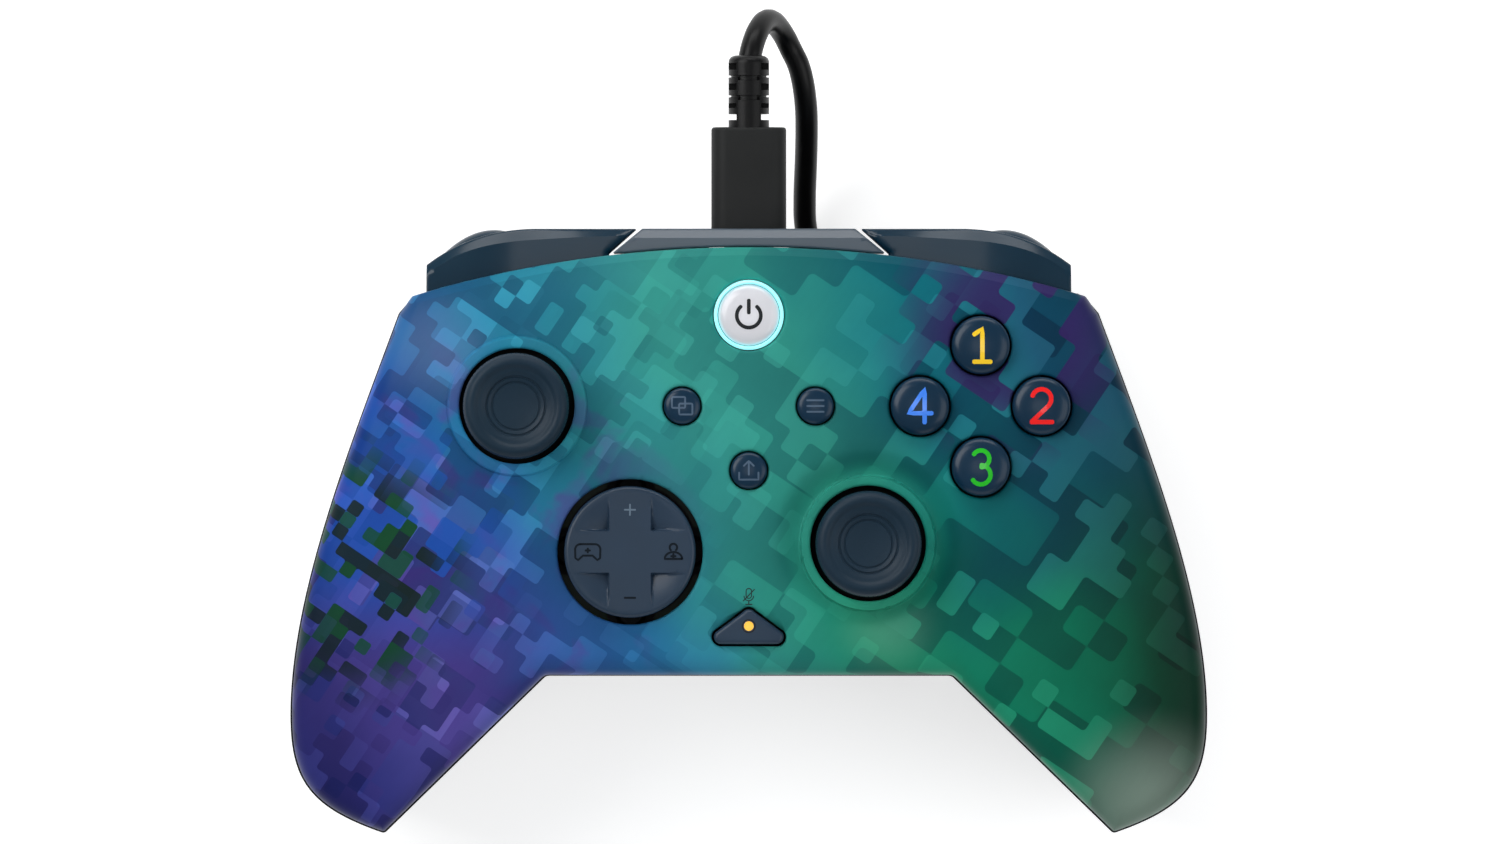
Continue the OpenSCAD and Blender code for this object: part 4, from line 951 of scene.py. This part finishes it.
def under_at(x, y):
    """Lower surface of the rear shell before its edges are rounded: belly, grip horns, feet and lobes."""
    ax = np.abs(x)
    horn = [((61.5, -35.0, 14.6), 15.4), ((58.0, -8.0, 22.0), 17.0), ((54.0, 8.0, 25.0), 12.0)]
    deepest = np.zeros(x.shape)
    for (a, ra), (b, rb) in zip(horn, horn[1:]):
        for t in np.linspace(0, 1, 24):
            cx, cy, cz = np.array(a) * (1 - t) + np.array(b) * t
            r = ra * (1 - t) + rb * t
            q = np.clip(np.hypot(ax - cx, y - cy) / (r + 1.2), 0, 1)
            deepest = np.maximum(deepest, (BELLY_Z - cz + r) * (1 - q**2.3) ** 0.5)
    foot = np.clip(np.hypot(ax - FOOT[0], y - FOOT[1]) / FOOT_R, 0, 1)
    deepest = np.maximum(deepest, FOOT_DEPTH * (1 - smooth(foot, 0.52, 1.0)))
    deepest = np.maximum(deepest, LOBE_DEPTH * lobe_at(x, y))
    return np.maximum(BELLY_Z - deepest, 0.02)


def rear_points(loop, wells):
    """Points inside the rear plan, denser near its edge, the feet, the lobes and the screws."""
    free = [p for d in (0.15, 0.5, 1.1, 2.0, 3.2, 4.8, 6.6) for p in inset(loop, d)]
    foot_rings = (7.6, 8.1, 8.6, 9.3, 10.2, 11.2, 12.2, 13.2, 14.2, 15.0, 15.6)
    free += [p for s in (-1, 1) for r in foot_rings for p in ring((s * FOOT[0], FOOT[1]), r, 72)]
    lobe_x, lobe_y = np.arange(54.2, 62.0, 0.7), np.arange(20.0, 40.0, 0.7)
    free += [(s * x, y) for s in (-1, 1) for x in lobe_x for y in lobe_y]
    free = np.array(free + list(grid(loop, 2.0, 7.4)))
    free = free[inside(free, loop) & (away(free, loop) > 0.1)]
    for w in wells:
        free = free[(away(free, w) > 0.3) & ~inside(free, w)]
    for x, y, _ in SCREWS:
        rims = [ring((s * x, y), SCREW_HOLE_R + g, 40) for s in (-1, 1) for g in (0.3, 0.8)]
        free = np.vstack([free] + rims)
    x, y, _ = SCREWS[0]
    gaps = (1.2, 1.5, 1.8, 2.1, 2.4, 2.7, 3.0)
    scallop = np.vstack([ring((s * x, y), SCREW_HOLE_R + g, 56) for s in (-1, 1) for g in gaps])
    return np.vstack([free, scallop[inside(scallop, loop) & (away(scallop, loop) > 0.1)]])


def rear_rim(px, py):
    """Level that the wall of the rear shell rises to at a point of its rim."""
    for sx, sy, bottom in SCREWS:
        if math.hypot(abs(px) - sx, py - sy) < SCREW_HOLE_R + 0.01:
            return bottom
    in_notch = py > 32 and 31 < abs(px) < 55
    return ROOF_Z + 0.1 if bumper_zone(px, py) or in_notch else PARTING_Z


def rear_shell():
    """Back cover: grips, lobes and feet under a rounded edge, with a recess at each screw."""
    loop = rear_outline()
    wells = [ring((s * sx, sy), SCREW_HOLE_R, 40) for sx, sy, _ in SCREWS for s in (-1, 1)]
    v, f = triangles([loop] + wells, rear_points(loop, wells), wells)
    x, y = v[:, 0], v[:, 1]
    raw = under_at(x, y)
    flat = smooth(raw, 13.0, 20.0)
    lobe = lobe_at(x, y)
    roll = (7.0 - 2.5 * flat) * (1 - lobe) + 1.8 * lobe
    bend = np.clip(away(v, loop) / roll, 0, 1)
    p = 2.0 + 1.8 * flat
    z = REAR_EDGE_Z - (REAR_EDGE_Z - raw) * (1 - (1 - bend) ** p) ** (1 / p)
    from_screw = np.hypot(np.abs(x) - SCREWS[0][0], y - SCREWS[0][1])
    z = np.maximum(z, SCALLOP_Z * smooth(from_screw, SCREW_HOLE_R + 3.0, SCREW_HOLE_R + 0.8))
    verts = list(np.column_stack([v, z]))
    faces = [tuple(t[::-1]) for t in f]
    up = {}

    def head(q):
        if q not in up:
            up[q] = len(verts)
            verts.append((*v[q], rear_rim(*v[q])))
        return up[q]

    for a, b in rim_edges(f):
        faces.append((a, b, head(b), head(a)))
    ob = mesh_piece("rear_cover", verts, faces, 50)
    hollow(ob)
    place(ob, "housing", ["rear_shell"], REAR)


def rear_roofs():
    """Covers over the two trigger notches."""
    back_y = 33.0
    for side, name in SIDES:
        notch = [p for p in OUTLINE if 32.3 <= side * p[0] <= 53.7 and p[1] > SHOULDER_Y]
        notch = sorted(notch, key=lambda p: p[0])
        roof = [(notch[-1][0], back_y), (notch[0][0], back_y)] + [(px, py - 0.2) for px, py in notch]
        ob = pillow("rear_roof_" + name, resampled(np.array(roof), 1.5), level(ROOF_Z), level(ROOF_Z - 2.0),
                    insets=(0.3, 1.0), step=2.5)
        place(ob, "housing", (), REAR)


# Sticks, direction pad and buttons


def arc(cx, cy, r, a, b, n=10, ry=None):
    t = np.radians(np.linspace(a, b, n))
    return [(cx + r * math.cos(q), cy + (ry or r) * math.sin(q)) for q in t]


def dome_at(place_at, r, rise):
    """Height function of a low dome of radius r whose middle stands rise over the face."""
    top = float(face_at(*place_at)) + rise

    def height(x, y):
        q = np.clip(np.hypot(x - place_at[0], y - place_at[1]) / r, 0, 1)
        return top - 0.11 * r * q**2.2 - 0.1 * r * q**10

    return height


def knurl(name, centre, r, low, high, count=72):
    """Fine ribs round the rim of a stick's cap."""
    wide, root, tip = 0.13, r - 0.25, r + 0.07
    corners = ((root, -wide), (tip, -0.4 * wide), (tip, 0.4 * wide), (root, wide))
    ribs = []
    for k in range(count):
        a = 2 * math.pi * k / count
        c, s = math.cos(a), math.sin(a)
        plan = [(centre[0] + d * c - s * u, centre[1] + d * s + c * u) for d, u in corners]
        v = [(x, y, z) for z in (low, high) for x, y in plan]
        ribs.append((v, [(0, 1, 5, 4), (1, 2, 6, 5), (2, 3, 7, 6), (4, 5, 6, 7), (3, 2, 1, 0)]))
    return joined(name, ribs)


def stick(side, centre):
    """Thumbstick: dished cap with ringed grip, stem and dust dome, and the well under its hole."""
    top, r = STICK_TOP_Z, STICK_CAP_R
    rim = [(0.0, 4.4), (3.2, 4.4), (6.6, 4.0), (8.0, 3.5), (8.55, 2.9), (r, 2.2), (r, 1.5), (8.62, 0.95),
           (8.3, 0.45), (7.85, 0.12), (7.35, 0.0), (6.95, 0.08), (6.62, 0.26), (6.4, 0.42), (6.15, 0.52)]
    grooves = [(5.9, 0.55), (5.7, 0.62), (5.3, 0.8), (5.05, 0.9), (4.97, 1.14), (4.75, 1.17), (4.66, 1.0),
               (4.3, 1.12), (4.1, 1.2), (4.02, 1.36), (3.84, 1.38), (3.76, 1.24)]
    dish = [(q, 1.5 - 0.26 * (q / 3.76) ** 2) for q in (3.2, 2.6, 1.9, 1.1, 0.0)]
    cap = [(q, top - down) for q, down in rim + grooves + dish]
    ob = lathe(side + "_stick_cap", cap, centre, 128, 32)
    place(ob, side + "_stick", [side + "_stick"], RUBBER)
    dome = [(11.6 * math.cos(t), 36 + 11.7 * math.sin(t)) for t in np.radians(np.linspace(8, 74, 18))]
    skirt = lathe(side + "_stick_dome", dome + [(3.3, 47.4), (3.2, top - 4.2)], centre, 96, 45)
    place(skirt, side + "_stick", (), BLACK)
    lip, bend, sole = float(face_at(*centre)) - 1.9, 43.0, 35.0
    well = [(13.2, sole), (13.2, bend), (10.6, lip), (9.8, lip), (12.4, bend), (12.4, sole), (13.2, sole)]
    place(lathe(side + "_stick_well", well, centre, 96, 45), "housing", (), BLACK)
    ribs = knurl(side + "_stick_knurl", centre, r, top - 2.45, top - 1.25)
    place(ribs, side + "_stick", (), RUBBER)


def pad_sign(x, y):
    """Outline of a gamepad with a small plus."""
    feet = [(-2.05, -0.9), (-1.6, -1.25), (-0.8, -0.5), (0.8, -0.5), (1.6, -1.25), (2.05, -0.9)]
    outline = arc(x - 1.2, y + 0.5, 0.9, 90, 190, 7) + [(x + dx, y + dy) for dx, dy in feet]
    outline += arc(x + 1.2, y + 0.5, 0.9, -10, 90, 7) + [(x - 1.2, y + 1.4)]
    return [outline, [(x - 0.4, y + 0.35), (x + 0.4, y + 0.35)], [(x, y), (x, y + 0.7)]]


def person_sign(x, y):
    """Head and shoulders with a small plus."""
    head = arc(x, y + 0.85, 0.62, -50, 230, 14)
    bust = arc(x, y - 1.05, 1.45, 0, 180, 14, 1.15) + [(x + 1.45, y - 1.05)]
    return [head, bust, [(x - 0.4, y - 0.6), (x + 0.4, y - 0.6)], [(x, y - 1.0), (x, y - 0.2)]]


def dpad():
    """Round pad with a raised cross and four dished quarters."""
    cx, cy = DPAD
    top = float(face_at(cx, cy)) + 1.6
    arm = 3.45

    def height(x, y, d=None):
        u, v = np.abs(x - cx), np.abs(y - cy)
        dip = np.minimum(u, v) - arm
        rim = np.hypot(u, v)
        quarter = 1.35 * smooth(dip, 0.0, 0.3) * np.clip((10.4 - rim) / 5.4, 0, 1) ** 1.6
        return top - quarter - rolled(DPAD_R - rim, 0.7)

    lines = []
    along = np.arange(-10.2, 10.3, 0.4)
    for off in (arm - 0.02, arm + 0.1, arm + 0.22, arm + 0.36, arm + 0.6):
        for s in (-1, 1):
            lines += [(cx + q, cy + s * off) for q in along] + [(cx + s * off, cy + q) for q in along]
    lines = np.array(lines)
    lines = lines[np.hypot(lines[:, 0] - cx, lines[:, 1] - cy) < DPAD_R - 0.9]
    ob = pillow("dpad_top", ring(DPAD, DPAD_R, 128), height, level(top - 4.2), (0.07, 0.22, 0.45, 0.75), 0.7,
                [lines], 35)
    place(ob, "dpad_cap", ["dpad_cap"], NAVY)
    plus = [[(cx - 0.9, cy + 7), (cx + 0.9, cy + 7)], [(cx, cy + 6.1), (cx, cy + 7.9)]]
    minus = [[(cx - 0.9, cy - 7.6), (cx + 0.9, cy - 7.6)]]
    signs = minus + pad_sign(cx - 7.0, cy - 0.1) + person_sign(cx + 7.2, cy - 0.1)
    place(joined("dpad_marks", [ribbon(signs, 0.34, height, 0.03)]), "dpad_cap", (), ICON)
    place(joined("dpad_plus", [ribbon(plus, 0.28, height, 0.02)]), "dpad_cap", (), FAINT)


NUMERALS = {
    "top": [[(-1.15, 1.75), (0.25, 2.75), (0.25, -2.75)], [(-1.2, -2.75), (1.7, -2.75)]],
    "right": [arc(0, 1.2, 1.6, 165, -20, 14) + [(1.2, 0.1), (-1.65, -2.6)], [(-1.75, -2.65), (1.85, -2.65)]],
    "bottom": [arc(0, 1.35, 1.4, 150, -90, 14), arc(0, -1.3, 1.6, 90, -150, 14)],
    "left": [[(0.75, -2.8), (0.75, 2.8), (-1.9, -1.2), (2.0, -1.2)]],
}


def push_button(name, centre, r, rise, mat, marks, mark_mat, width, lift=0.02):
    """Domed cap on a straight skirt, with marks lying on the dome."""
    h = dome_at(centre, r, rise)
    foot = float(face_at(*centre)) - 2.6
    prof = [(r * 0.9, foot), (r, foot), (r, float(h(centre[0] + r, centre[1])) - 0.25)]
    for q in (0.985, 0.95, 0.9, 0.82, 0.72, 0.6, 0.45, 0.3, 0.15, 0):
        prof.append((r * q, float(h(centre[0] + r * q, centre[1]))))
    place(lathe(name + "_cap", prof, centre, 80, 50), name, [name], mat)
    shifted = [[(centre[0] + x, centre[1] + y) for x, y in s] for s in marks]
    place(joined(name + "_mark", [ribbon(shifted, width, h, lift)]), name, (), mark_mat)


def rounded_box(x0, y0, x1, y1, r=0.2):
    p = filleted([(x0, y0, r), (x1, y0, r), (x1, y1, r), (x0, y1, r)], 3)
    return [tuple(q) for q in p] + [tuple(p[0])]


def buttons():
    """Face buttons, the three small buttons, and the guide button with its light ring."""
    for k, side in enumerate(("right", "top", "left", "bottom")):
        push_button("face_button_" + side, face_button_at(k), FACE_CAP_R, FACE_RISE, GLOSS,
                    NUMERALS[side], GLYPHS[side], 0.74, 0.03)
    view = [rounded_box(-1.7, -0.3, 0.5, 1.5), rounded_box(-0.5, -1.4, 1.7, 0.4)]
    menu = [[(-1.4, d), (1.4, d)] for d in (0.95, 0.0, -0.95)]
    tray = [(-1.6, -0.3), (-1.6, -1.5), (1.6, -1.5), (1.6, -0.3)]
    share = [tray, [(0, -0.7), (0, 1.5)], [(-0.85, 0.75), (0, 1.6), (0.85, 0.75)]]
    for name, centre, marks in (("view", VIEW, view), ("menu", MENU, menu), ("share", SHARE, share)):
        push_button(name + "_button", centre, SMALL_CAP_R, SMALL_RISE, GLOSS, marks, DIM, 0.3)
    power = [arc(0, -0.1, 2.0, 130, 410, 28), [(0, 0.3), (0, 2.5)]]
    push_button("guide_button", GUIDE, GUIDE_R, 1.0, PALE, power, INK, 0.62)
    z, inner = float(face_at(*GUIDE)), GUIDE_R + 0.08
    glow = [(inner, z - 1.6), (RING_R, z - 1.6), (RING_R, z + 0.2), (RING_R - 0.12, z + 0.38),
            (RING_R - 0.4, z + 0.46), (GUIDE_R + 0.25, z + 0.4), (inner, z + 0.25), (inner, z - 1.6)]
    place(lathe("guide_ring", glow, GUIDE, 96, 50), "housing", ["guide_light_ring"], RING)


def mic():
    """Mute button with its light, and the mark printed over it."""
    top = float(face_at(*MIC)) + 0.7

    def crowned(x, y, d):
        return top - rolled(d, 0.6) - 0.006 * (x - MIC[0]) ** 2

    loop = resampled(mic_loop(-0.15), 0.5)
    ob = pillow("mic_cap", loop, crowned, level(top - 3.0), (0.07, 0.2, 0.4, 0.65), 0.6, sharp=45)
    place(ob, "mic_button", ["mic_button"], NAVY)
    c = (MIC[0], MIC[1] + 0.1)
    seat = [(1.15, top - 0.6), (1.15, top + 0.01), (1.02, top + 0.04), (0.9, top - 0.04), (0.86, top - 0.5)]
    place(lathe("mic_light_seat", seat, c, 48), "mic_button", (), BLACK)
    lens = [(0.85, top - 0.5), (0.85, top - 0.02), (0.7, top + 0.03), (0.4, top + 0.05), (0.0, top + 0.05)]
    place(lathe("mic_lens", lens, c, 48), "mic_button", ["mic_light"], AMBER)
    mx, my = 0.0, -10.7
    capsule = rounded_box(mx - 0.45, my - 0.3, mx + 0.45, my + 1.35, 0.44)
    stand = [[(mx, my - 0.7), (mx, my - 1.25)], [(mx - 0.55, my - 1.3), (mx + 0.55, my - 1.3)]]
    strike = [(mx - 0.95, my - 0.75), (mx + 0.95, my + 1.2)]
    icon = [capsule, arc(mx, my + 0.1, 0.8, 180, 360, 10)] + stand + [strike]
    place(joined("mic_mark", [ribbon(icon, 0.16, face_at, 0.012)]), "housing", (), INK)


# Top edge: trim, bumpers and triggers


def mirrored(loop, side):
    return np.array([(side * x, y) for x, y in loop])[:: 1 if side > 0 else -1]


CROWN_END, BUMPER_CUT = (53.6, 44.4), ((18.65, FRONT_Y), (23.25, 46.3))
CROWN_START = np.column_stack([np.linspace(18.7, 35.3, 25), np.full(25, FRONT_Y)])
CROWN_BEND = bezier((36, FRONT_Y), (44.5, 50.2), (50, 47.2), CROWN_END, 24)
CROWN = np.vstack([CROWN_START, CROWN_BEND, [CROWN_END]])


def bumper_loop():
    """Plan of the right bumper."""
    tuck = [(x, y - 2.6) for x, y in TOP_EDGE if 25.8 < x < 52.7]
    pts = [(*BUMPER_CUT[0], 0.1)] + [(*p, 0) for p in CROWN[1:-1]] + [(53.65, 44.4, 0.4), (53.7, 36.8, 0.4)]
    pts += [(x, y, 0) for x, y in reversed(tuck)] + [(24.3, 43.2, 0.4), (*BUMPER_CUT[1], 0.2)]
    return resampled(filleted(pts)[::-1], 0.8)


def crown_band(x):
    """Width of the bevel along a bumper's crown."""
    return 1.15 + 0.75 * np.exp(-(((np.abs(x) - 39) / 10) ** 2))


def shoulders():
    """Both bumpers with their bevelled crowns, the triggers under them and the trim between."""
    for side, name in SIDES:
        loop = mirrored(bumper_loop(), side)
        crown = CROWN * (side, 1)
        crown = np.vstack([crown, crown[-1] + 3 * (crown[-1] - crown[-3])])
        end = np.array(BUMPER_CUT) * (side, 1)

        def top(x, y, d):
            p = np.column_stack([x, y])
            out, cut = away(p, crown, False), away(p, end, False)
            bevel = 1.0 * np.clip(1 - out / crown_band(x), 0, 1) + 0.35 * np.clip(1 - cut / 0.55, 0, 1)
            return 40.5 - bevel - rolled(d, 0.15) - 1.5 * smooth(np.abs(x), 38, 58)

        fold = beside(crown, side * crown_band(crown[:, 0]))
        fold = fold[(np.abs(fold[:, 0]) > 21.0) & inside(fold, loop) & (away(fold, loop) > 0.3)]
        ob = pillow(name + "_bumper_top", loop, top, lambda x, y, d: 28.1 + rolled(d, 0.6),
                    (0.04, 0.12, 0.4, 0.9), 0.9, folds=[fold])
        place(ob, name + "_bumper", [name + "_bumper"], SHOULDER)
        trigger(side, name)
    trim()


def trigger(side, name):
    """Paddle on its pin: the side profile carried across, with a crowned front and rounded ends."""
    inner, outer, mid, edge = 34.5, 51.5, 42.6, 1.1
    py, pz, hub, roof, sole, f = 36.7, 21.0, 2.4, 24.9, 4.6, FRONT_Y
    prof = resampled(filleted([
        (py - hub, pz - hub, 2.3), (py + 6.4, pz - 2.2, 4.0), (f - 5.2, sole + 11.4, 3.0),
        (f - 4.9, sole + 6.0, 4.0), (f - 6.1, sole + 0.7, 0.35), (f - 5.1, sole, 0.4),
        (f - 2.9, sole + 2.2, 3.0), (f - 1.0, sole + 7.4, 8.0), (f, roof - 7, 8.0), (f, roof, 2.4),
        (py + 7, roof, 3.0), (py - hub, pz + hub, 2.3),
    ], 6), 0.5)
    tuck = inward(prof) * np.minimum(edge, 0.85 * room_inside(prof))[:, None]
    turn = np.linspace(0, math.pi / 2, 7)
    end = [(edge * (1 - math.cos(a)), 1 - math.sin(a)) for a in turn]
    across = [(inner + d, s) for d, s in end]
    across += [(x, 0.0) for x in np.linspace(inner + edge, outer - edge, 25)[1:-1]]
    across += [(outer - d, s) for d, s in reversed(end)]
    verts = []
    for x, s in across:
        reach = f - 4.4 * ((x - mid) / 8.9) ** 2
        k = (reach - py) / (f - py)
        finger = 0.5 * (1 - ((x - mid) / 9.0) ** 2)
        for y, z in prof + tuck * s:
            dish = finger * math.exp(-(((z - 13.0) / 4.5) ** 2)) if y > f - 3.5 else 0.0
            verts.append((side * x, py + (y - py) * (k if y > py else 1.0) - dish, z))
    faces = skin(len(across), len(prof))
    ob = mesh_piece(name + "_trigger_paddle", verts, faces if side > 0 else [q[::-1] for q in faces], 40)
    place(ob, name + "_trigger", [name + "_trigger"], SHOULDER)


def trim():
    """Fixed piece between the bumpers, with a bevelled front and a window for the plug."""
    half_top, half_low, low_y, band, window = 17.7, 22.7, 46.3, 1.55, 6.6
    inner = [(x, y + 0.12, 0) for x, y in TOP_EDGE if 0 <= x < 21.0]
    right = [(half_low, low_y, 0.1), (half_top, FRONT_Y, 0.1)]
    pts = [(-x, y, r) for x, y, r in reversed(inner[1:])] + inner + right
    pts += [(-x, y, r) for x, y, r in reversed(right)]

    def top(x, y, d):
        bevel = 0.95 * np.clip(1 - (FRONT_Y - y) / band, 0, 1)
        return 43.8 - bevel - rolled(d, 0.15) - 0.15 * smooth(np.abs(x), 8, 22)

    def leg_foot(x, y, d):
        return 26.6 + rolled(d, 0.5)

    fold = np.column_stack([np.linspace(-19.2, 19.2, 65), np.full(65, FRONT_Y - band)])
    plan = resampled(filleted(pts), 0.7)
    ob = pillow("trim_top", plan, top, level(36.1), (0.04, 0.12, 0.4), 0.8, folds=[fold])
    place(ob, "housing", ["center_trim"], TRIM)
    leg = [p for p in inner if p[0] > window] + right + [(window, FRONT_Y, 0.3), (window, TOP_Y + 0.1, 0.2)]
    for side, name in SIDES:
        loop = mirrored(resampled(filleted(leg), 0.9), side)
        ob = pillow("trim_leg_" + name, loop, level(36.2), leg_foot, (0.06, 0.2, 0.5), 1.6)
        place(ob, "housing", (), TRIM)


# Plug and strain relief


def boxed(name, loop_xz, y0, y1, edge, steps=6):
    """A bar along Y with the given section, whose two ends are rounded by edge."""
    mid = loop_xz.mean(axis=0)
    size = np.abs(loop_xz - mid).max(axis=0)
    rows = []
    for a in np.linspace(math.pi / 2, 0, steps + 1):
        rows.append((y0 + edge * (1 - math.sin(a)), edge * (1 - math.cos(a)) * 0.7))
    rows += [(y1 + y0 - y, s) for y, s in reversed(rows)]
    verts = []
    for y, s in rows:
        k = (size - s) / size
        verts += [(mid[0] + (x - mid[0]) * k[0], y, mid[1] + (z - mid[1]) * k[1]) for x, z in loop_xz]
    return mesh_piece(name, verts, skin(len(rows), len(loop_xz)), 40)


def plug():
    """Moulded plug in the port, with its strain relief."""
    w, t, r = 12.5, 7.2, 2.7
    corners = [(sx * w / 2, PORT_Z + sz * t / 2, r) for sx, sz in ((1, 1), (-1, 1), (-1, -1), (1, -1))]
    body = boxed("plug_body", filleted(corners, 6), 47.5, 67.4, 0.6)
    place(body, "housing", ["cable_plug"], BLACK)
    place(relief(67.2, 79.4), "housing", ["strain_relief"], BLACK_RUBBER)


def relief(y0, y1):
    """Tube with an open slot at each side of its foot, then blind windows and grooves by turns."""
    outer, core, dome = 3.38, 2.0, 1.3
    slot = (68.6, 69.6)
    windows = [(70.6, 71.4), (73.6, 74.7), (77.0, 78.1)]
    grooves = [(72.4, 72.75), (75.7, 76.05)]
    saddles = [(71.9, 72.75), (75.2, 76.05)]
    rib, cheek, saddle_from = 8, 52, 58

    def among(y, bands):
        return any(lo < y < hi for lo, hi in bands)

    def radius(y, a):
        side = math.degrees(min(a % math.pi, math.pi - a % math.pi))
        if among(y, [slot]) and side < cheek:
            return 2.05
        if among(y, windows) and rib < side < cheek:
            return 2.3
        if among(y, saddles) and side > saddle_from:
            return 2.75
        if among(y, grooves):
            return 2.95
        end = np.clip((y - y1 + dome) / dome, 0, 1)
        return core + (outer - core) * math.sqrt(max(0.0, 1 - end**2.6))

    rows = [y0, y0 + 0.5] + list(y1 - dome + dome * np.sin(np.linspace(0.1, np.pi / 2, 8)))
    for lo, hi in [slot] + windows + grooves + saddles:
        rows += [lo, lo + 0.05, hi - 0.05, hi]
    rows = sorted(set(rows))
    turn = []
    for q in (0, 180):
        for m in (rib, cheek, saddle_from):
            turn += [q + m - 0.6, q + m + 0.6, q - m - 0.6, q - m + 0.6]
        turn += [q + m for m in (-85, -72, -45, -36, -28, -20, -14, 0, 14, 20, 28, 36, 45, 72, 85)]
    turn = np.sort(np.radians(np.array(turn) % 360))
    verts = []
    for y in rows:
        for a in turn:
            r = radius(y, a)
            verts.append((r * math.cos(a), y, PORT_Z + r * math.sin(a)))
    return mesh_piece("plug_relief", verts, skin(len(rows), len(turn)), 30)


# The rest of the CAD pieces


def dress():
    """Gives each CAD piece that stays its material and softly broken edges."""
    kinds = {
        "board": (BOARD, ["main_board"]),
        "steel": (STEEL, ["port_socket", "plug_tip", "bumper_pins", "trigger_pins", "trigger_springs",
                          "shell_screws", "host_plug_shell", "left_rumble_motor", "right_rumble_motor",
                          "left_rumble_weight", "right_rumble_weight"]),
        "pad_rubber": (PAD, ["dpad_pad", "face_pad"]),
        "black_plastic": (BLACK, ["headset_jack", "left_stick_base", "right_stick_base", "dpad_base",
                                  "tact_switches", "left_stick_yoke", "right_stick_yoke", "left_stick_cradle",
                                  "right_stick_cradle", "dpad_cross", "left_trigger_bracket",
                                  "right_trigger_bracket", "host_plug"]),
        "black_rubber": (BLACK_RUBBER, ["cord_tie"]),
    }
    for slot, (mat, nodes) in kinds.items():
        for n in nodes:
            ob = bpy.data.objects[n]
            ob.data.materials.clear()
            ob.data.materials.append(mat)
            soft = ob.modifiers.new("edges", "BEVEL")
            soft.width, soft.segments, soft.limit_method = 0.15 * MM, 2, "ANGLE"
            ob.data.shade_smooth()


camera()
cable, route = cord()
studio()
floor()
front_shell()
rear_shell()
rear_roofs()
for side, centre in (("left", LEFT_STICK), ("right", RIGHT_STICK)):
    stick(side, centre)
dpad()
buttons()
mic()
shoulders()
plug()
dress()
cord_length = float(np.linalg.norm(np.diff(route, axis=0), axis=1).sum())
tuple(route[0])
bpy.context.view_layer.update()
